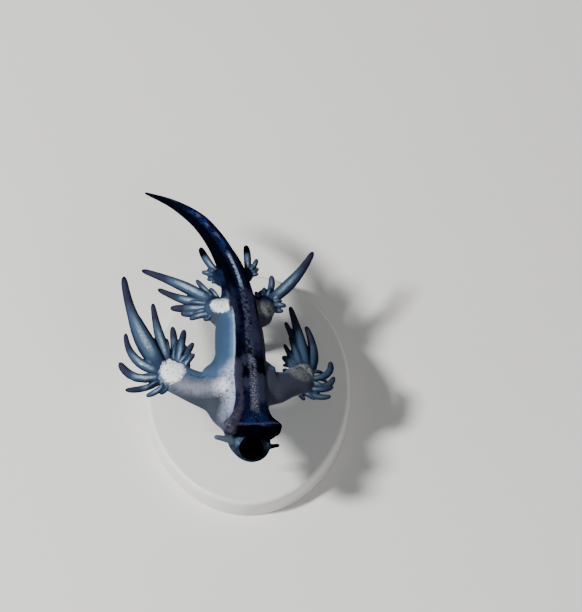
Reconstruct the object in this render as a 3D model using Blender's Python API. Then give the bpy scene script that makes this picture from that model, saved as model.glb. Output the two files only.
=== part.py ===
# A blue dragon sea slug, life size, floating belly up as it does at sea, held on a small display stand.
# +X is the right of the picture, +Y runs from the head to the tail, and +Z is up, the side of the foot's sole.
# The origin is the middle of the stand's underside.
# Everything is built in millimetres, and the last step scales each mesh to metres.

import math

import bmesh
import bpy
from mathutils import Matrix, Vector

METRES = 0.001
GAP = 0.3

# Height of the body's midline above the floor.
FLOAT_HEIGHT = 10.5

# The body along its midline, from the snout to the tip of the tail. Left and right are as the picture
# shows them.
# distance, x, y, z, left half width, right half width, sole above the midline, back below it, roll
BODY = (
    (0.0, 0.25, -14.60, -0.45, 2.20, 2.20, 1.70, 1.60, 18),
    (2.4, 0.25, -12.35, -0.40, 2.48, 2.28, 1.75, 1.75, 20),
    (4.6, -0.05, -10.20, -0.10, 2.35, 2.20, 1.90, 1.75, 23),
    (8.8, -0.40, -6.00, 0.00, 2.90, 2.60, 2.00, 2.00, 24),
    (12.8, -0.55, -2.00, 0.00, 3.10, 2.60, 2.00, 2.00, 25),
    (16.3, -0.75, 1.50, 0.00, 2.95, 2.50, 1.95, 1.90, 25),
    (19.3, -1.00, 4.50, 0.00, 2.35, 2.10, 1.80, 1.70, 24),
    (22.1, -1.40, 7.20, 0.05, 1.55, 1.60, 1.55, 1.40, 22),
    (24.7, -2.00, 9.80, 0.10, 1.32, 1.32, 1.30, 1.15, 18),
    (27.2, -2.85, 12.10, 0.15, 1.20, 1.20, 1.10, 1.00, 14),
    (29.5, -3.90, 14.10, 0.20, 1.06, 1.06, 0.95, 0.90, 11),
    (31.8, -5.25, 16.00, 0.25, 0.92, 0.92, 0.80, 0.80, 9),
    (33.9, -6.80, 17.40, 0.30, 0.72, 0.72, 0.62, 0.62, 7),
    (36.0, -8.60, 18.60, 0.35, 0.46, 0.46, 0.42, 0.42, 6),
    (38.7, -11.20, 19.78, 0.40, 0.14, 0.14, 0.14, 0.14, 5),
)
BODY_SIDES = 24
TROUGH_WALL = 0.15
HEAD_ROUNDING = 2.6
SNOUT_START = 0.05

# The sole, a raised strip along the belly that flares at the front into a thick lip.
# distance, half width, thickness
SOLE = (
    (2.95, 2.50, 1.00),
    (3.10, 3.10, 1.40),
    (3.50, 3.32, 1.55),
    (4.10, 3.00, 1.45),
    (4.90, 2.22, 1.20),
    (6.00, 1.86, 1.00),
    (7.40, 1.74, 0.92),
    (9.60, 1.80, 0.90),
    (12.40, 1.62, 0.88),
    (15.70, 1.48, 0.85),
    (19.00, 1.38, 0.80),
    (22.00, 1.28, 0.70),
    (25.60, 1.15, 0.65),
)
SOLE_ARC_STEPS = 10
SOLE_EDGE = 0.35

# Where the body is parted across its length.
HEAD_END = 4.6
FRONT_END = 13.0
MIDDLE_END = 21.8
REAR_END = 25.6
TAIL_FRONT_END = 30.0
TAIL_MIDDLE_END = 34.2
TAIL_TIP = BODY[-1][0]

# The arms. Each path starts inside the body and ends at the rounded palm that carries the cerata.
# Path: share of the arm, x, y, z, half width, half thickness.
# Palm: its centre, and the half length and half width of the oval along which the cerata are rooted.
# The roots are spread evenly from the first bearing of the span to the last, in degrees from +X.
# Cerata, in that order: bearing of the tip, its reach from the palm's centre, the bow to the left of
# the line from root to tip as a share of that line, the widest radius and the lift of the middle.
ARMS = {
    "arm_front_left": {
        "path": (
            (0.00, -0.40, -6.00, 0.00, 5.00, 1.35),
            (0.22, -2.60, -6.05, 0.25, 5.60, 1.35),
            (0.32, -3.40, -6.10, 0.35, 4.50, 1.25),
            (0.41, -4.15, -6.10, 0.45, 3.15, 1.15),
            (0.52, -5.20, -6.10, 0.65, 2.15, 1.05),
            (0.64, -6.30, -5.75, 0.90, 1.90, 1.00),
            (0.78, -7.50, -5.15, 1.10, 1.85, 0.95),
            (1.00, -9.45, -3.90, 1.30, 1.80, 0.90),
        ),
        "palm": (-8.20, -4.60, 1.20),
        "rim": (1.20, 1.45),
        "span": (-15, 262),
        "droop": 0,
        "cerata": (
            (34, 2.4, 0.00, 0.27, -0.15),
            (46, 3.6, 0.05, 0.33, 0.15),
            (59.5, 4.7, 0.05, 0.38, -0.12),
            (76.5, 5.9, 0.00, 0.42, 0.15),
            (89.2, 6.15, -0.03, 0.42, -0.15),
            (102.5, 9.4, 0.03, 0.60, 0.10),
            (115.5, 8.5, -0.02, 0.42, -0.55),
            (112.2, 13.75, 0.06, 1.08, 0.10),
            (133, 7.2, 0.17, 0.56, -0.10),
            (165, 5.7, 0.26, 0.49, 0.20),
            (203, 5.3, 0.08, 0.36, -0.10),
            (227, 3.9, 0.12, 0.33, 0.15),
            (246, 2.8, 0.00, 0.28, -0.15),
        ),
    },
    "arm_front_right": {
        "path": (
            (0.00, -0.40, -5.20, -0.20, 3.60, 1.35),
            (0.28, 1.80, -5.00, -0.40, 3.20, 1.30),
            (0.36, 2.40, -5.00, -0.50, 2.60, 1.25),
            (0.46, 3.10, -5.00, -0.65, 2.05, 1.15),
            (0.62, 4.40, -4.40, -1.00, 1.60, 1.05),
            (0.80, 5.50, -3.60, -1.40, 1.85, 0.95),
            (1.00, 6.85, -2.75, -1.75, 1.80, 0.85),
        ),
        "palm": (5.68, -3.43, -1.45),
        "rim": (0.95, 1.60),
        "span": (160, -115),
        "droop": -18,
        "cerata": (
            (138, 2.7, 0.00, 0.28, 0.15),
            (117, 4.5, -0.03, 0.38, 0.20),
            (107, 6.5, 0.00, 0.42, -0.10),
            (99.5, 7.6, 0.00, 0.46, 0.15),
            (100, 10.3, -0.02, 0.52, -0.25),
            (95.5, 12.9, -0.01, 0.62, 0.05),
            (86.5, 9.3, -0.07, 0.62, -0.20),
            (46, 4.7, -0.25, 0.39, 0.10),
            (17, 3.9, -0.24, 0.36, -0.15),
            (-4, 3.6, -0.14, 0.34, 0.15),
            (-24, 3.7, -0.12, 0.32, -0.15),
            (-53, 2.7, 0.00, 0.30, 0.20),
            (-79, 2.4, 0.00, 0.27, -0.10),
        ),
    },
    "arm_middle_left": {
        "path": (
            (0.00, -0.90, 4.00, 0.20, 2.80, 1.25),
            (0.40, -2.70, 4.00, 0.65, 2.60, 1.20),
            (0.58, -3.30, 4.05, 0.80, 1.80, 1.10),
            (0.74, -3.75, 4.20, 0.95, 1.35, 1.00),
            (1.00, -4.60, 4.45, 1.10, 1.25, 0.85),
        ),
        "palm": (-3.30, 4.25, 0.95),
        "rim": (0.80, 1.05),
        "span": (80, 262),
        "droop": 0,
        "cerata": (
            (107.9, 2.66, 0.00, 0.27, 0.10),
            (122.2, 4.28, 0.04, 0.32, 0.15),
            (149.2, 9.53, -0.02, 0.64, 0.15),
            (159.5, 6.86, 0.04, 0.57, -0.20),
            (181.1, 5.07, 0.04, 0.45, 0.15),
            (192.5, 4.04, 0.00, 0.38, -0.15),
            (207.8, 3.38, -0.04, 0.34, 0.15),
            (227.3, 2.2, 0.00, 0.27, -0.10),
        ),
    },
    "arm_middle_right": {
        "path": (
            (0.00, -0.90, 4.60, 0.00, 2.40, 1.15),
            (0.50, 1.00, 4.85, -0.45, 2.20, 1.10),
            (0.66, 1.55, 5.25, -0.60, 1.60, 1.00),
            (0.80, 2.00, 5.75, -0.75, 1.15, 0.90),
            (1.00, 2.70, 6.35, -0.90, 1.00, 0.80),
        ),
        "palm": (1.81, 5.86, -0.70),
        "rim": (0.60, 0.85),
        "span": (150, -50),
        "droop": 0,
        "cerata": (
            (124, 1.9, 0.00, 0.25, 0.10),
            (92, 2.1, 0.00, 0.27, 0.15),
            (80, 3.8, -0.08, 0.38, -0.10),
            (53, 8.6, -0.06, 0.67, 0.05),
            (-7, 2.3, 0.00, 0.30, 0.15),
            (-25, 2.2, 0.00, 0.28, -0.10),
        ),
    },
    "arm_rear_left": {
        "path": (
            (0.00, -1.70, 8.30, 0.05, 1.30, 0.80),
            (0.60, -2.80, 8.55, 0.25, 1.00, 0.72),
            (1.00, -3.90, 9.00, 0.40, 0.80, 0.60),
        ),
        "palm": (-3.20, 8.80, 0.32),
        "rim": (0.35, 0.50),
        "span": (118, 250),
        "droop": 0,
        "cerata": (
            (118, 4.25, 0.05, 0.42, 0.10),
            (163, 1.9, 0.05, 0.29, 0.15),
            (198, 1.3, 0.00, 0.24, -0.10),
            (232, 1.2, 0.00, 0.22, 0.10),
        ),
    },
    "arm_rear_right": {
        "path": (
            (0.00, -1.80, 8.90, 0.00, 1.15, 0.78),
            (0.60, -0.50, 9.10, -0.08, 0.90, 0.70),
            (1.00, 0.42, 9.45, -0.12, 0.70, 0.58),
        ),
        "palm": (-0.08, 9.26, -0.10),
        "rim": (0.28, 0.45),
        "span": (95, -20),
        "droop": 0,
        "cerata": (
            (93, 3.9, -0.03, 0.41, 0.10),
            (65, 2.3, -0.10, 0.29, 0.15),
            (36, 1.5, 0.00, 0.24, -0.10),
            (5, 1.2, 0.00, 0.22, 0.10),
        ),
    },
}
ARM_SIDES = 20
ARM_RINGS = 10
PALM_START = 0.78
PALM_RINGS = 5

# A ceras: share of its length and share of its widest radius, from the root to the blunt tip.
# Short ones are finger-like, long ones narrow towards the tip, and the giant one does so sooner.
LONG_CERAS = 6.3
LONG_SIDES = 8
SHORT_SIDES = 6
GIANT_RADIUS = 0.9
GIANT_OUTLINE = (
    (0.0, 0.70),
    (0.13, 0.90),
    (0.26, 1.0),
    (0.40, 0.89),
    (0.52, 0.69),
    (0.64, 0.53),
    (0.80, 0.43),
    (0.94, 0.34),
    (1.0, 0.12),
)
LONG_OUTLINE = (
    (0.0, 0.78),
    (0.15, 0.92),
    (0.32, 1.0),
    (0.46, 0.94),
    (0.60, 0.80),
    (0.74, 0.66),
    (0.87, 0.54),
    (0.96, 0.42),
    (1.0, 0.16),
)
SHORT_OUTLINE = ((0.0, 0.78), (0.33, 0.96), (0.64, 1.0), (0.87, 0.83), (0.97, 0.52), (1.0, 0.24))

# The mouth: a round swelling on the belly side of the snout, set in a shallow seat.
HEAD_CENTRE = 2.6
MOUTH_FORWARD = 1.62
MOUTH_UP = 1.33
MOUTH_SIDE = -0.38
MOUTH_TILT = 35
MOUTH_RADIUS = 1.22
MOUTH_SEAT_DEPTH = 0.80
MOUTH_SIDES = 20
# distance from the middle and height above the head's surface, from the opening outwards
MOUTH_OUTLINE = ((0.16, 0.00), (0.32, 0.22), (0.62, 0.36), (0.95, 0.22), (1.16, -0.06), (1.22, -0.50))

# Feelers: distance from the snout, sideways and up for the root and for the tip, then both radii.
FEELERS = {
    "oral_tentacle_left": ((1.90, -1.85, -0.05), (2.40, -3.85, 0.25), 0.36, 0.14),
    "oral_tentacle_right": ((1.95, 1.85, -0.05), (2.45, 3.50, 0.05), 0.34, 0.12),
    "rhinophore_left": ((3.30, -0.70, -1.40), (3.20, -1.25, -3.00), 0.36, 0.15),
    "rhinophore_right": ((3.30, 1.05, -1.30), (3.20, 1.80, -2.90), 0.36, 0.15),
}
FEELER_SIDES = 10
FEELER_OUTLINE = ((0.0, 0.0), (0.35, 0.25), (0.7, 0.65), (0.93, 0.95), (1.0, 1.9))

# The display stand: an oval foot plate and two rods up to the belly-up body's back.
BASE_HALF_LENGTH = 15.0
BASE_HALF_WIDTH = 11.0
BASE_THICKNESS = 2.4
BASE_BEVEL = 0.5
BASE_SIDES = 48
ROD_RADIUS = 0.7
ROD_SIDES = 20
RODS = {"stand_rod_front": (-0.45, -5.2), "stand_rod_rear": (-1.00, 4.6)}


def clear_scene():
    for thing in list(bpy.data.objects):
        bpy.data.objects.remove(thing)


def material(name, colour, roughness, metallic=0.0):
    made = bpy.data.materials.new(name)
    made.use_nodes = True
    shader = made.node_tree.nodes["Principled BSDF"]
    shader.inputs["Base Color"].default_value = (*colour, 1.0)
    shader.inputs["Roughness"].default_value = roughness
    shader.inputs["Metallic"].default_value = metallic
    return made


# Smooth values of a table's other columns at a value of its first column.
def eased(rows, at):
    at = min(max(at, rows[0][0]), rows[-1][0])
    i = max(k for k in range(len(rows) - 1) if rows[k][0] <= at)
    low, high = rows[i], rows[i + 1]
    before, after = rows[max(i - 1, 0)], rows[min(i + 2, len(rows) - 1)]
    span = high[0] - low[0]
    t = (at - low[0]) / span
    values = []
    for c in range(1, len(low)):
        slope_low = (high[c] - before[c]) / (high[0] - before[0])
        slope_high = (after[c] - low[c]) / (after[0] - low[0])
        values.append(
            low[c] * (2 * t**3 - 3 * t**2 + 1)
            + slope_low * span * (t**3 - 2 * t**2 + t)
            + high[c] * (3 * t**2 - 2 * t**3)
            + slope_high * span * (t**3 - t**2)
        )
    return values


def shares(count):
    return [k / count for k in range(count + 1)]


def direction_at(rows, at, step):
    ahead = Vector(eased(rows, at + step)[0:3])
    behind = Vector(eased(rows, at - step)[0:3])
    return (ahead - behind).normalized()


# Centre of the body and its tailward, rightward and soleward directions, with the roll taken in.
def body_axes(distance):
    values = eased(BODY, distance)
    centre = Vector(values[0:3]) + Vector((0, 0, FLOAT_HEIGHT))
    along = direction_at(BODY, distance, 0.1)
    level_right = along.cross(Vector((0, 0, 1))).normalized()
    level_up = level_right.cross(along)
    roll = math.radians(values[7])
    right = level_right * math.cos(roll) - level_up * math.sin(roll)
    up = level_up * math.cos(roll) + level_right * math.sin(roll)
    return centre, along, right, up


def body_point(distance, sideways, height):
    centre, _, right, up = body_axes(distance)
    return centre + right * sideways + up * height


# Height of the body's flat seat for the sole. The tail has none, and there the body is whole.
def seat_height(distance):
    top = eased(BODY, distance)[5]
    return top - eased(SOLE, distance)[1] - GAP


# A point of the body's oval section, whose left and right, top and bottom differ.
def oval_point(distance, angle, grow):
    left, right, top, bottom = eased(BODY, distance)[3:7]
    rounding = 1.0
    if distance < HEAD_ROUNDING:
        rounding = math.sqrt(max(0.0, 1 - (1 - distance / HEAD_ROUNDING) ** 2))
    across = (right if math.cos(angle) > 0 else left) * rounding + grow
    upward = (top if math.sin(angle) > 0 else bottom) * rounding + grow
    return across * math.cos(angle), upward * math.sin(angle)


def body_ring(distance, grow=0.0):
    ring = []
    for k in range(BODY_SIDES):
        sideways, height = oval_point(distance, 2 * math.pi * k / BODY_SIDES, grow)
        ring.append(body_point(distance, sideways, height))
    return ring


# The same section with a trough along its top, in which the sole lies with the gap all round.
# Where the sole is as wide as the body, the trough is a flat seat from side to side.
def seated_ring(distance):
    left, right, top, _ = eased(BODY, distance)[3:7]
    seat = seat_height(distance)
    sole_edge = eased(SOLE, distance)[0] + GAP
    ring = []
    for side, half_width in ((1, right), (-1, left)):
        widest = half_width * math.sqrt(1 - (seat / top) ** 2)
        if sole_edge < half_width * math.sqrt(1 - min(1.0, (seat + TROUGH_WALL) / top) ** 2):
            edge = sole_edge
            first = math.acos(edge / half_width)
        else:
            edge = widest
            first = math.asin(seat / top) - TROUGH_WALL / half_width
        steps = BODY_SIDES // 2 - 2
        points = [(side * edge, seat)]
        for k in range(steps + (side > 0)):
            angle = first - (first + math.pi / 2) * k / steps
            points.append(oval_point(distance, angle if side > 0 else math.pi - angle, 0.0))
        ring += points if side > 0 else points[::-1]
    return [body_point(distance, sideways, height) for sideways, height in ring]


def sole_ring(distance, grow=0.0):
    half_width, thickness = eased(SOLE, distance)
    seat = seat_height(distance) + GAP - grow
    half_width += grow
    ring = [body_point(distance, half_width, seat), body_point(distance, -half_width, seat)]
    for k in range(SOLE_ARC_STEPS + 1):
        angle = math.pi * (1 - k / SOLE_ARC_STEPS)
        height = seat + SOLE_EDGE + (thickness + 2 * grow - SOLE_EDGE) * math.sin(angle)
        ring.append(body_point(distance, half_width * math.cos(angle), height))
    return ring


def spaced(start, end, step):
    count = max(2, round((end - start) / step))
    return [start + (end - start) * share for share in shares(count)]


# One closed object through rings of equal length. A ring of one point closes to a tip.
def lofted(name, rings, finish=None):
    mesh = bmesh.new()
    loops = [[mesh.verts.new(point) for point in ring] for ring in rings]
    for first, second in zip(loops, loops[1:]):
        count = max(len(first), len(second))
        for k in range(count):
            j = (k + 1) % count
            if len(first) == 1:
                mesh.faces.new((first[0], second[j], second[k]))
            elif len(second) == 1:
                mesh.faces.new((first[k], first[j], second[0]))
            else:
                mesh.faces.new((first[k], first[j], second[j], second[k]))
    for loop in (loops[0], loops[-1]):
        if len(loop) > 1:
            mesh.faces.new(loop)
    bmesh.ops.triangulate(mesh, faces=mesh.faces, ngon_method="EAR_CLIP")
    bmesh.ops.recalc_face_normals(mesh, faces=mesh.faces)
    if mesh.calc_volume(signed=True) < 0:
        bmesh.ops.reverse_faces(mesh, faces=mesh.faces)
    data = bpy.data.meshes.new(name)
    mesh.to_mesh(data)
    mesh.free()
    made = bpy.data.objects.new(name, data)
    bpy.context.scene.collection.objects.link(made)
    if finish:
        data.materials.append(finish)
    return made


# Rings square to a path, with a level sideways axis.
def path_rings(points, half_widths, half_heights, sides):
    rings = []
    for i, point in enumerate(points):
        along = (points[min(i + 1, len(points) - 1)] - points[max(i - 1, 0)]).normalized()
        side = along.cross(Vector((0, 0, 1))).normalized()
        up = side.cross(along)
        ring = []
        for k in range(sides):
            angle = 2 * math.pi * k / sides
            offset = side * half_widths[i] * math.cos(angle) + up * half_heights[i] * math.sin(angle)
            ring.append(point + offset)
        rings.append(ring)
    return rings


def keep_largest(node):
    mesh = bmesh.new()
    mesh.from_mesh(node.data)
    left = set(mesh.verts)
    islands = []
    while left:
        reached = {left.pop()}
        edge_of_search = list(reached)
        while edge_of_search:
            vertex = edge_of_search.pop()
            for edge in vertex.link_edges:
                other = edge.other_vert(vertex)
                if other in left:
                    left.discard(other)
                    reached.add(other)
                    edge_of_search.append(other)
        islands.append(reached)
    largest = max(islands, key=len)
    scraps = [vertex for vertex in mesh.verts if vertex not in largest]
    bmesh.ops.delete(mesh, geom=scraps, context="VERTS")
    mesh.to_mesh(node.data)
    mesh.free()


# One Boolean with all the helpers at once. The helpers are used up.
def combine(node, operation, helpers):
    group = bpy.data.collections.new("helpers")
    bpy.context.scene.collection.children.link(group)
    for helper in helpers:
        bpy.context.scene.collection.objects.unlink(helper)
        group.objects.link(helper)
    boolean = node.modifiers.new("combine", "BOOLEAN")
    boolean.operation = operation
    boolean.operand_type = "COLLECTION"
    boolean.collection = group
    boolean.solver = "EXACT"
    graph = bpy.context.evaluated_depsgraph_get()
    result = bpy.data.meshes.new_from_object(node.evaluated_get(graph))
    node.modifiers.clear()
    node.data = result
    for helper in helpers:
        bpy.data.objects.remove(helper)
    bpy.data.collections.remove(group)
    keep_largest(node)


def body_length(name, start, end, finish, grow=0.0, step=1.0):
    rings = [body_ring(distance, grow) for distance in spaced(start, end, step)]
    return lofted(name, rings, finish)


def seated_length(name, start, end, finish, step=1.0):
    rings = [seated_ring(distance) for distance in spaced(start, end, step)]
    return lofted(name, rings, finish)


def sole_length(name, start, end, finish, grow=0.0, step=1.1):
    distances = spaced(start, end, step)
    if start < SOLE[3][0]:
        distances = [row[0] for row in SOLE[:5]] + spaced(SOLE[5][0], end, step)
    rings = [sole_ring(distance, grow) for distance in distances]
    return lofted(name, rings, finish)


# The whole trunk and sole grown by the gap, to cut clear what meets them.
def grown_trunk():
    return [
        body_length("grown_head", SNOUT_START, HEAD_ROUNDING, None, GAP, step=0.4),
        body_length("grown_body", HEAD_ROUNDING - GAP, REAR_END + 2, None, GAP, step=0.8),
        sole_length("grown_sole", SOLE[0][0], REAR_END + 1, None, GAP),
    ]


def head(finish):
    front = [HEAD_ROUNDING * (1 - math.cos(math.pi / 2 * share)) for share in shares(6)[1:]]
    back = spaced(HEAD_ROUNDING, HEAD_END - GAP / 2, 0.65)[1:]
    rings = [[body_point(0, 0, 0)]] + [body_ring(distance) for distance in front + back]
    made = lofted("head", rings, finish)
    seat = mouth_piece("mouth_seat", None, ((0.0, 1.0), (MOUTH_RADIUS + GAP, 1.0), (MOUTH_RADIUS + GAP, 0)))
    sole = sole_length("grown_sole", SOLE[0][0], HEAD_END + 2, None, GAP)
    combine(made, "DIFFERENCE", [seat, sole])
    return made


# A turned piece square to the snout's belly side. The outline runs from the middle outwards.
def mouth_piece(name, finish, outline):
    centre, along, right, up = body_axes(HEAD_CENTRE)
    tilt = math.radians(MOUTH_TILT)
    outward = up * math.cos(tilt) - along * math.sin(tilt)
    second = outward.cross(right)
    surface = centre - along * MOUTH_FORWARD + right * MOUTH_SIDE + up * MOUTH_UP
    floor = -MOUTH_SEAT_DEPTH if finish is None else GAP - MOUTH_SEAT_DEPTH
    rings = []
    for radius, height in outline + ((outline[-1][0], floor),):
        point = surface + outward * height
        if radius == 0:
            rings.append([point])
            continue
        ring = []
        for k in range(MOUTH_SIDES):
            angle = 2 * math.pi * k / MOUTH_SIDES
            ring.append(point + (right * math.cos(angle) + second * math.sin(angle)) * radius)
        rings.append(ring)
    return lofted(name, rings, finish)


def feeler(name, finish):
    root, tip, root_radius, tip_radius = FEELERS[name]
    start = body_point(*root)
    end = body_point(*tip)
    points = [start.lerp(end, share) for share, _ in FEELER_OUTLINE]
    radii = [root_radius + (tip_radius - root_radius) * min(width, 1.0) for _, width in FEELER_OUTLINE]
    radii[-1] = tip_radius * 0.4
    made = lofted(name, path_rings(points, radii, radii, FEELER_SIDES), finish)
    shell = body_length("grown_head", SNOUT_START, HEAD_END, None, GAP, step=0.4)
    combine(made, "DIFFERENCE", [shell])
    return made


def ceras(sizes, number, bearing, reach, bow, radius, lift):
    first, last = sizes["span"]
    root_bearing = math.radians(first + (last - first) * number / (len(sizes["cerata"]) - 1))
    bearing = math.radians(bearing)
    droop = math.radians(sizes["droop"])
    centre = Vector(sizes["palm"]) + Vector((0, 0, FLOAT_HEIGHT))
    long_rim, wide_rim = sizes["rim"]
    root = centre + Vector((long_rim * math.cos(root_bearing), wide_rim * math.sin(root_bearing), 0))
    flat_reach = reach * math.cos(droop)
    tip = centre + Vector((flat_reach * math.cos(bearing), flat_reach * math.sin(bearing), reach * math.sin(droop)))
    line = tip - root
    left = Vector((-line.y, line.x, 0))
    outline = LONG_OUTLINE if reach > LONG_CERAS else SHORT_OUTLINE
    if radius > GIANT_RADIUS:
        outline = GIANT_OUTLINE
    sides = LONG_SIDES if reach > LONG_CERAS else SHORT_SIDES
    points = []
    for share, _ in outline:
        point = root + line * share + left * bow * 4 * share * (1 - share)
        point.z += lift * math.sin(math.pi * share)
        points.append(point)
    radii = [radius * width for _, width in outline]
    return lofted("ceras", path_rings(points, radii, radii, sides))


def arm(name, finish):
    sizes = ARMS[name]
    along = [PALM_START * share for share in shares(ARM_RINGS)]
    round_shares = [math.sin(math.pi / 2 * share) for share in shares(PALM_RINGS)[1:-1]]
    along += [PALM_START + (1 - PALM_START) * share for share in round_shares]
    points, half_widths, half_heights = [], [], []
    for share in along:
        x, y, z, half_width, half_height = eased(sizes["path"], share)
        rounding = 1.0
        if share > PALM_START:
            rounding = math.sqrt(1 - ((share - PALM_START) / (1 - PALM_START)) ** 2)
        points.append(Vector((x, y, z + FLOAT_HEIGHT)))
        half_widths.append(half_width * rounding)
        half_heights.append(half_height * rounding)
    made = lofted(name, path_rings(points, half_widths, half_heights, ARM_SIDES), finish)
    cerata = [ceras(sizes, number, *row) for number, row in enumerate(sizes["cerata"])]
    combine(made, "UNION", cerata)
    combine(made, "DIFFERENCE", grown_trunk())
    return made


def stand_base(finish):
    bpy.ops.mesh.primitive_cylinder_add(vertices=BASE_SIDES, radius=1.0, depth=BASE_THICKNESS)
    made = bpy.context.object
    made.name = "stand_base"
    made.data.transform(Matrix.Diagonal((BASE_HALF_WIDTH, BASE_HALF_LENGTH, 1.0, 1.0)))
    made.data.transform(Matrix.Translation((0, 0, BASE_THICKNESS / 2)))
    mesh = bmesh.new()
    mesh.from_mesh(made.data)
    rim = [edge for edge in mesh.edges if all(v.co.z > BASE_THICKNESS * 0.9 for v in edge.verts)]
    bmesh.ops.bevel(mesh, geom=rim, offset=BASE_BEVEL, segments=3, profile=0.5, affect="EDGES")
    mesh.to_mesh(made.data)
    mesh.free()
    made.data.materials.append(finish)
    return made


def stand_rod(name, finish):
    x, y = RODS[name]
    rings = []
    for height in (BASE_THICKNESS + GAP, FLOAT_HEIGHT):
        ring = []
        for k in range(ROD_SIDES):
            angle = 2 * math.pi * k / ROD_SIDES
            ring.append(Vector((x + ROD_RADIUS * math.cos(angle), y + ROD_RADIUS * math.sin(angle), height)))
        rings.append(ring)
    made = lofted(name, rings, finish)
    combine(made, "DIFFERENCE", [body_length("grown_body", HEAD_END, REAR_END, None, GAP)])
    return made


def build():
    clear_scene()
    navy = material("navy_skin", (0.012, 0.018, 0.075), 0.3)
    silver = material("silver_blue_skin", (0.36, 0.47, 0.62), 0.35, 0.3)
    blue = material("blue_cerata", (0.07, 0.13, 0.26), 0.3)
    black = material("black_mouth", (0.006, 0.006, 0.012), 0.3)
    acrylic = material("pale_acrylic", (0.78, 0.79, 0.78), 0.35)
    steel = material("polished_steel", (0.62, 0.62, 0.62), 0.25, 1.0)

    head(silver)
    mouth_piece("mouth", black, MOUTH_OUTLINE)
    for name in FEELERS:
        feeler(name, navy)

    half = GAP / 2
    seated_length("body_front", HEAD_END + half, FRONT_END - half, silver, step=0.8)
    seated_length("body_middle", FRONT_END + half, MIDDLE_END - half, silver)
    seated_length("body_rear", MIDDLE_END + half, REAR_END - half, silver)
    body_length("tail_front", REAR_END + half, TAIL_FRONT_END - half, navy)
    body_length("tail_middle", TAIL_FRONT_END + half, TAIL_MIDDLE_END - half, navy)
    body_length("tail_tip", TAIL_MIDDLE_END + half, TAIL_TIP, navy)
    sole_length("foot_front", SOLE[0][0], FRONT_END - half, navy)
    sole_length("foot_middle", FRONT_END + half, MIDDLE_END - half, navy)
    sole_length("foot_rear", MIDDLE_END + half, REAR_END - half, navy)
    for name in ARMS:
        arm(name, blue)

    stand_base(acrylic)
    for name in RODS:
        stand_rod(name, steel)

    for node in bpy.data.objects:
        node.data.transform(Matrix.Scale(METRES, 4))
        node.data.shade_smooth()
        node.data.set_sharp_from_angle(angle=math.radians(40))


build()
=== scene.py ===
import math
import random

import bmesh
import bpy
import numpy as np
from mathutils import Matrix, Vector
from mathutils.bvhtree import BVHTree
from mathutils.kdtree import KDTree


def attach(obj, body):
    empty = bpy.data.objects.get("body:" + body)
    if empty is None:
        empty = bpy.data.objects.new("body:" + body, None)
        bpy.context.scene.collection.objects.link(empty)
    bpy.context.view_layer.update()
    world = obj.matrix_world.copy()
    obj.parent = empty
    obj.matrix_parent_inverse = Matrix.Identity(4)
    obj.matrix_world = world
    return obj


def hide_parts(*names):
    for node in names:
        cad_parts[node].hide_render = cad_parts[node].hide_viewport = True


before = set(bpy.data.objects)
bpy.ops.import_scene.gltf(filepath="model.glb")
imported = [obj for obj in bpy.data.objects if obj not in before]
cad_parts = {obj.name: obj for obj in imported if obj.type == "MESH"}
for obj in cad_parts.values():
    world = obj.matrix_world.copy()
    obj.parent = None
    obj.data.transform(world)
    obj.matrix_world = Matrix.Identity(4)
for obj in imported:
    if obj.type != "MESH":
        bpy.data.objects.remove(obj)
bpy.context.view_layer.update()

print("frame loaded")

# The animal is modelled in millimetres and brought to metres once its skin is whole.
mm = 0.001
floatHeight = 10.5          # midline of the body above the floor

def deselectAll():
    if bpy.context.object and bpy.context.object.mode != "OBJECT":
        bpy.ops.object.mode_set(mode="OBJECT")
    bpy.ops.object.select_all(action="DESELECT")


def makeActive(piece):
    deselectAll()
    piece.select_set(True)
    bpy.context.view_layer.objects.active = piece


def applyModifier(piece, kind, **settings):
    makeActive(piece)
    modifier = piece.modifiers.new(kind.lower(), kind)
    for name, value in settings.items():
        setattr(modifier, name, value)
    bpy.ops.object.modifier_apply(modifier=modifier.name)


def joinPieces(pieces, name):
    makeActive(pieces[0])
    for piece in pieces[1:]:
        piece.select_set(True)
    bpy.ops.object.join()
    joined = bpy.context.object
    joined.name = name
    return joined


# Smooth values of a table's other columns at a value of its first column.
def easedValues(rows, at):
    at = min(max(at, rows[0][0]), rows[-1][0])
    i = max(k for k in range(len(rows) - 1) if rows[k][0] <= at)
    low, high = rows[i], rows[i + 1]
    before, after = rows[max(i - 1, 0)], rows[min(i + 2, len(rows) - 1)]
    span = high[0] - low[0]
    t = (at - low[0]) / span
    values = []
    for c in range(1, len(low)):
        slopeLow = (high[c] - before[c]) / (high[0] - before[0])
        slopeHigh = (after[c] - low[c]) / (after[0] - low[0])
        values.append(
            low[c] * (2 * t**3 - 3 * t**2 + 1) + slopeLow * span * (t**3 - 2 * t**2 + t)
            + high[c] * (3 * t**2 - 2 * t**3) + slopeHigh * span * (t**3 - t**2)
        )
    return values


def shares(count):
    return [k / count for k in range(count + 1)]


def spaced(start, end, step):
    count = max(2, round((end - start) / step))
    return [start + (end - start) * share for share in shares(count)]


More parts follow.
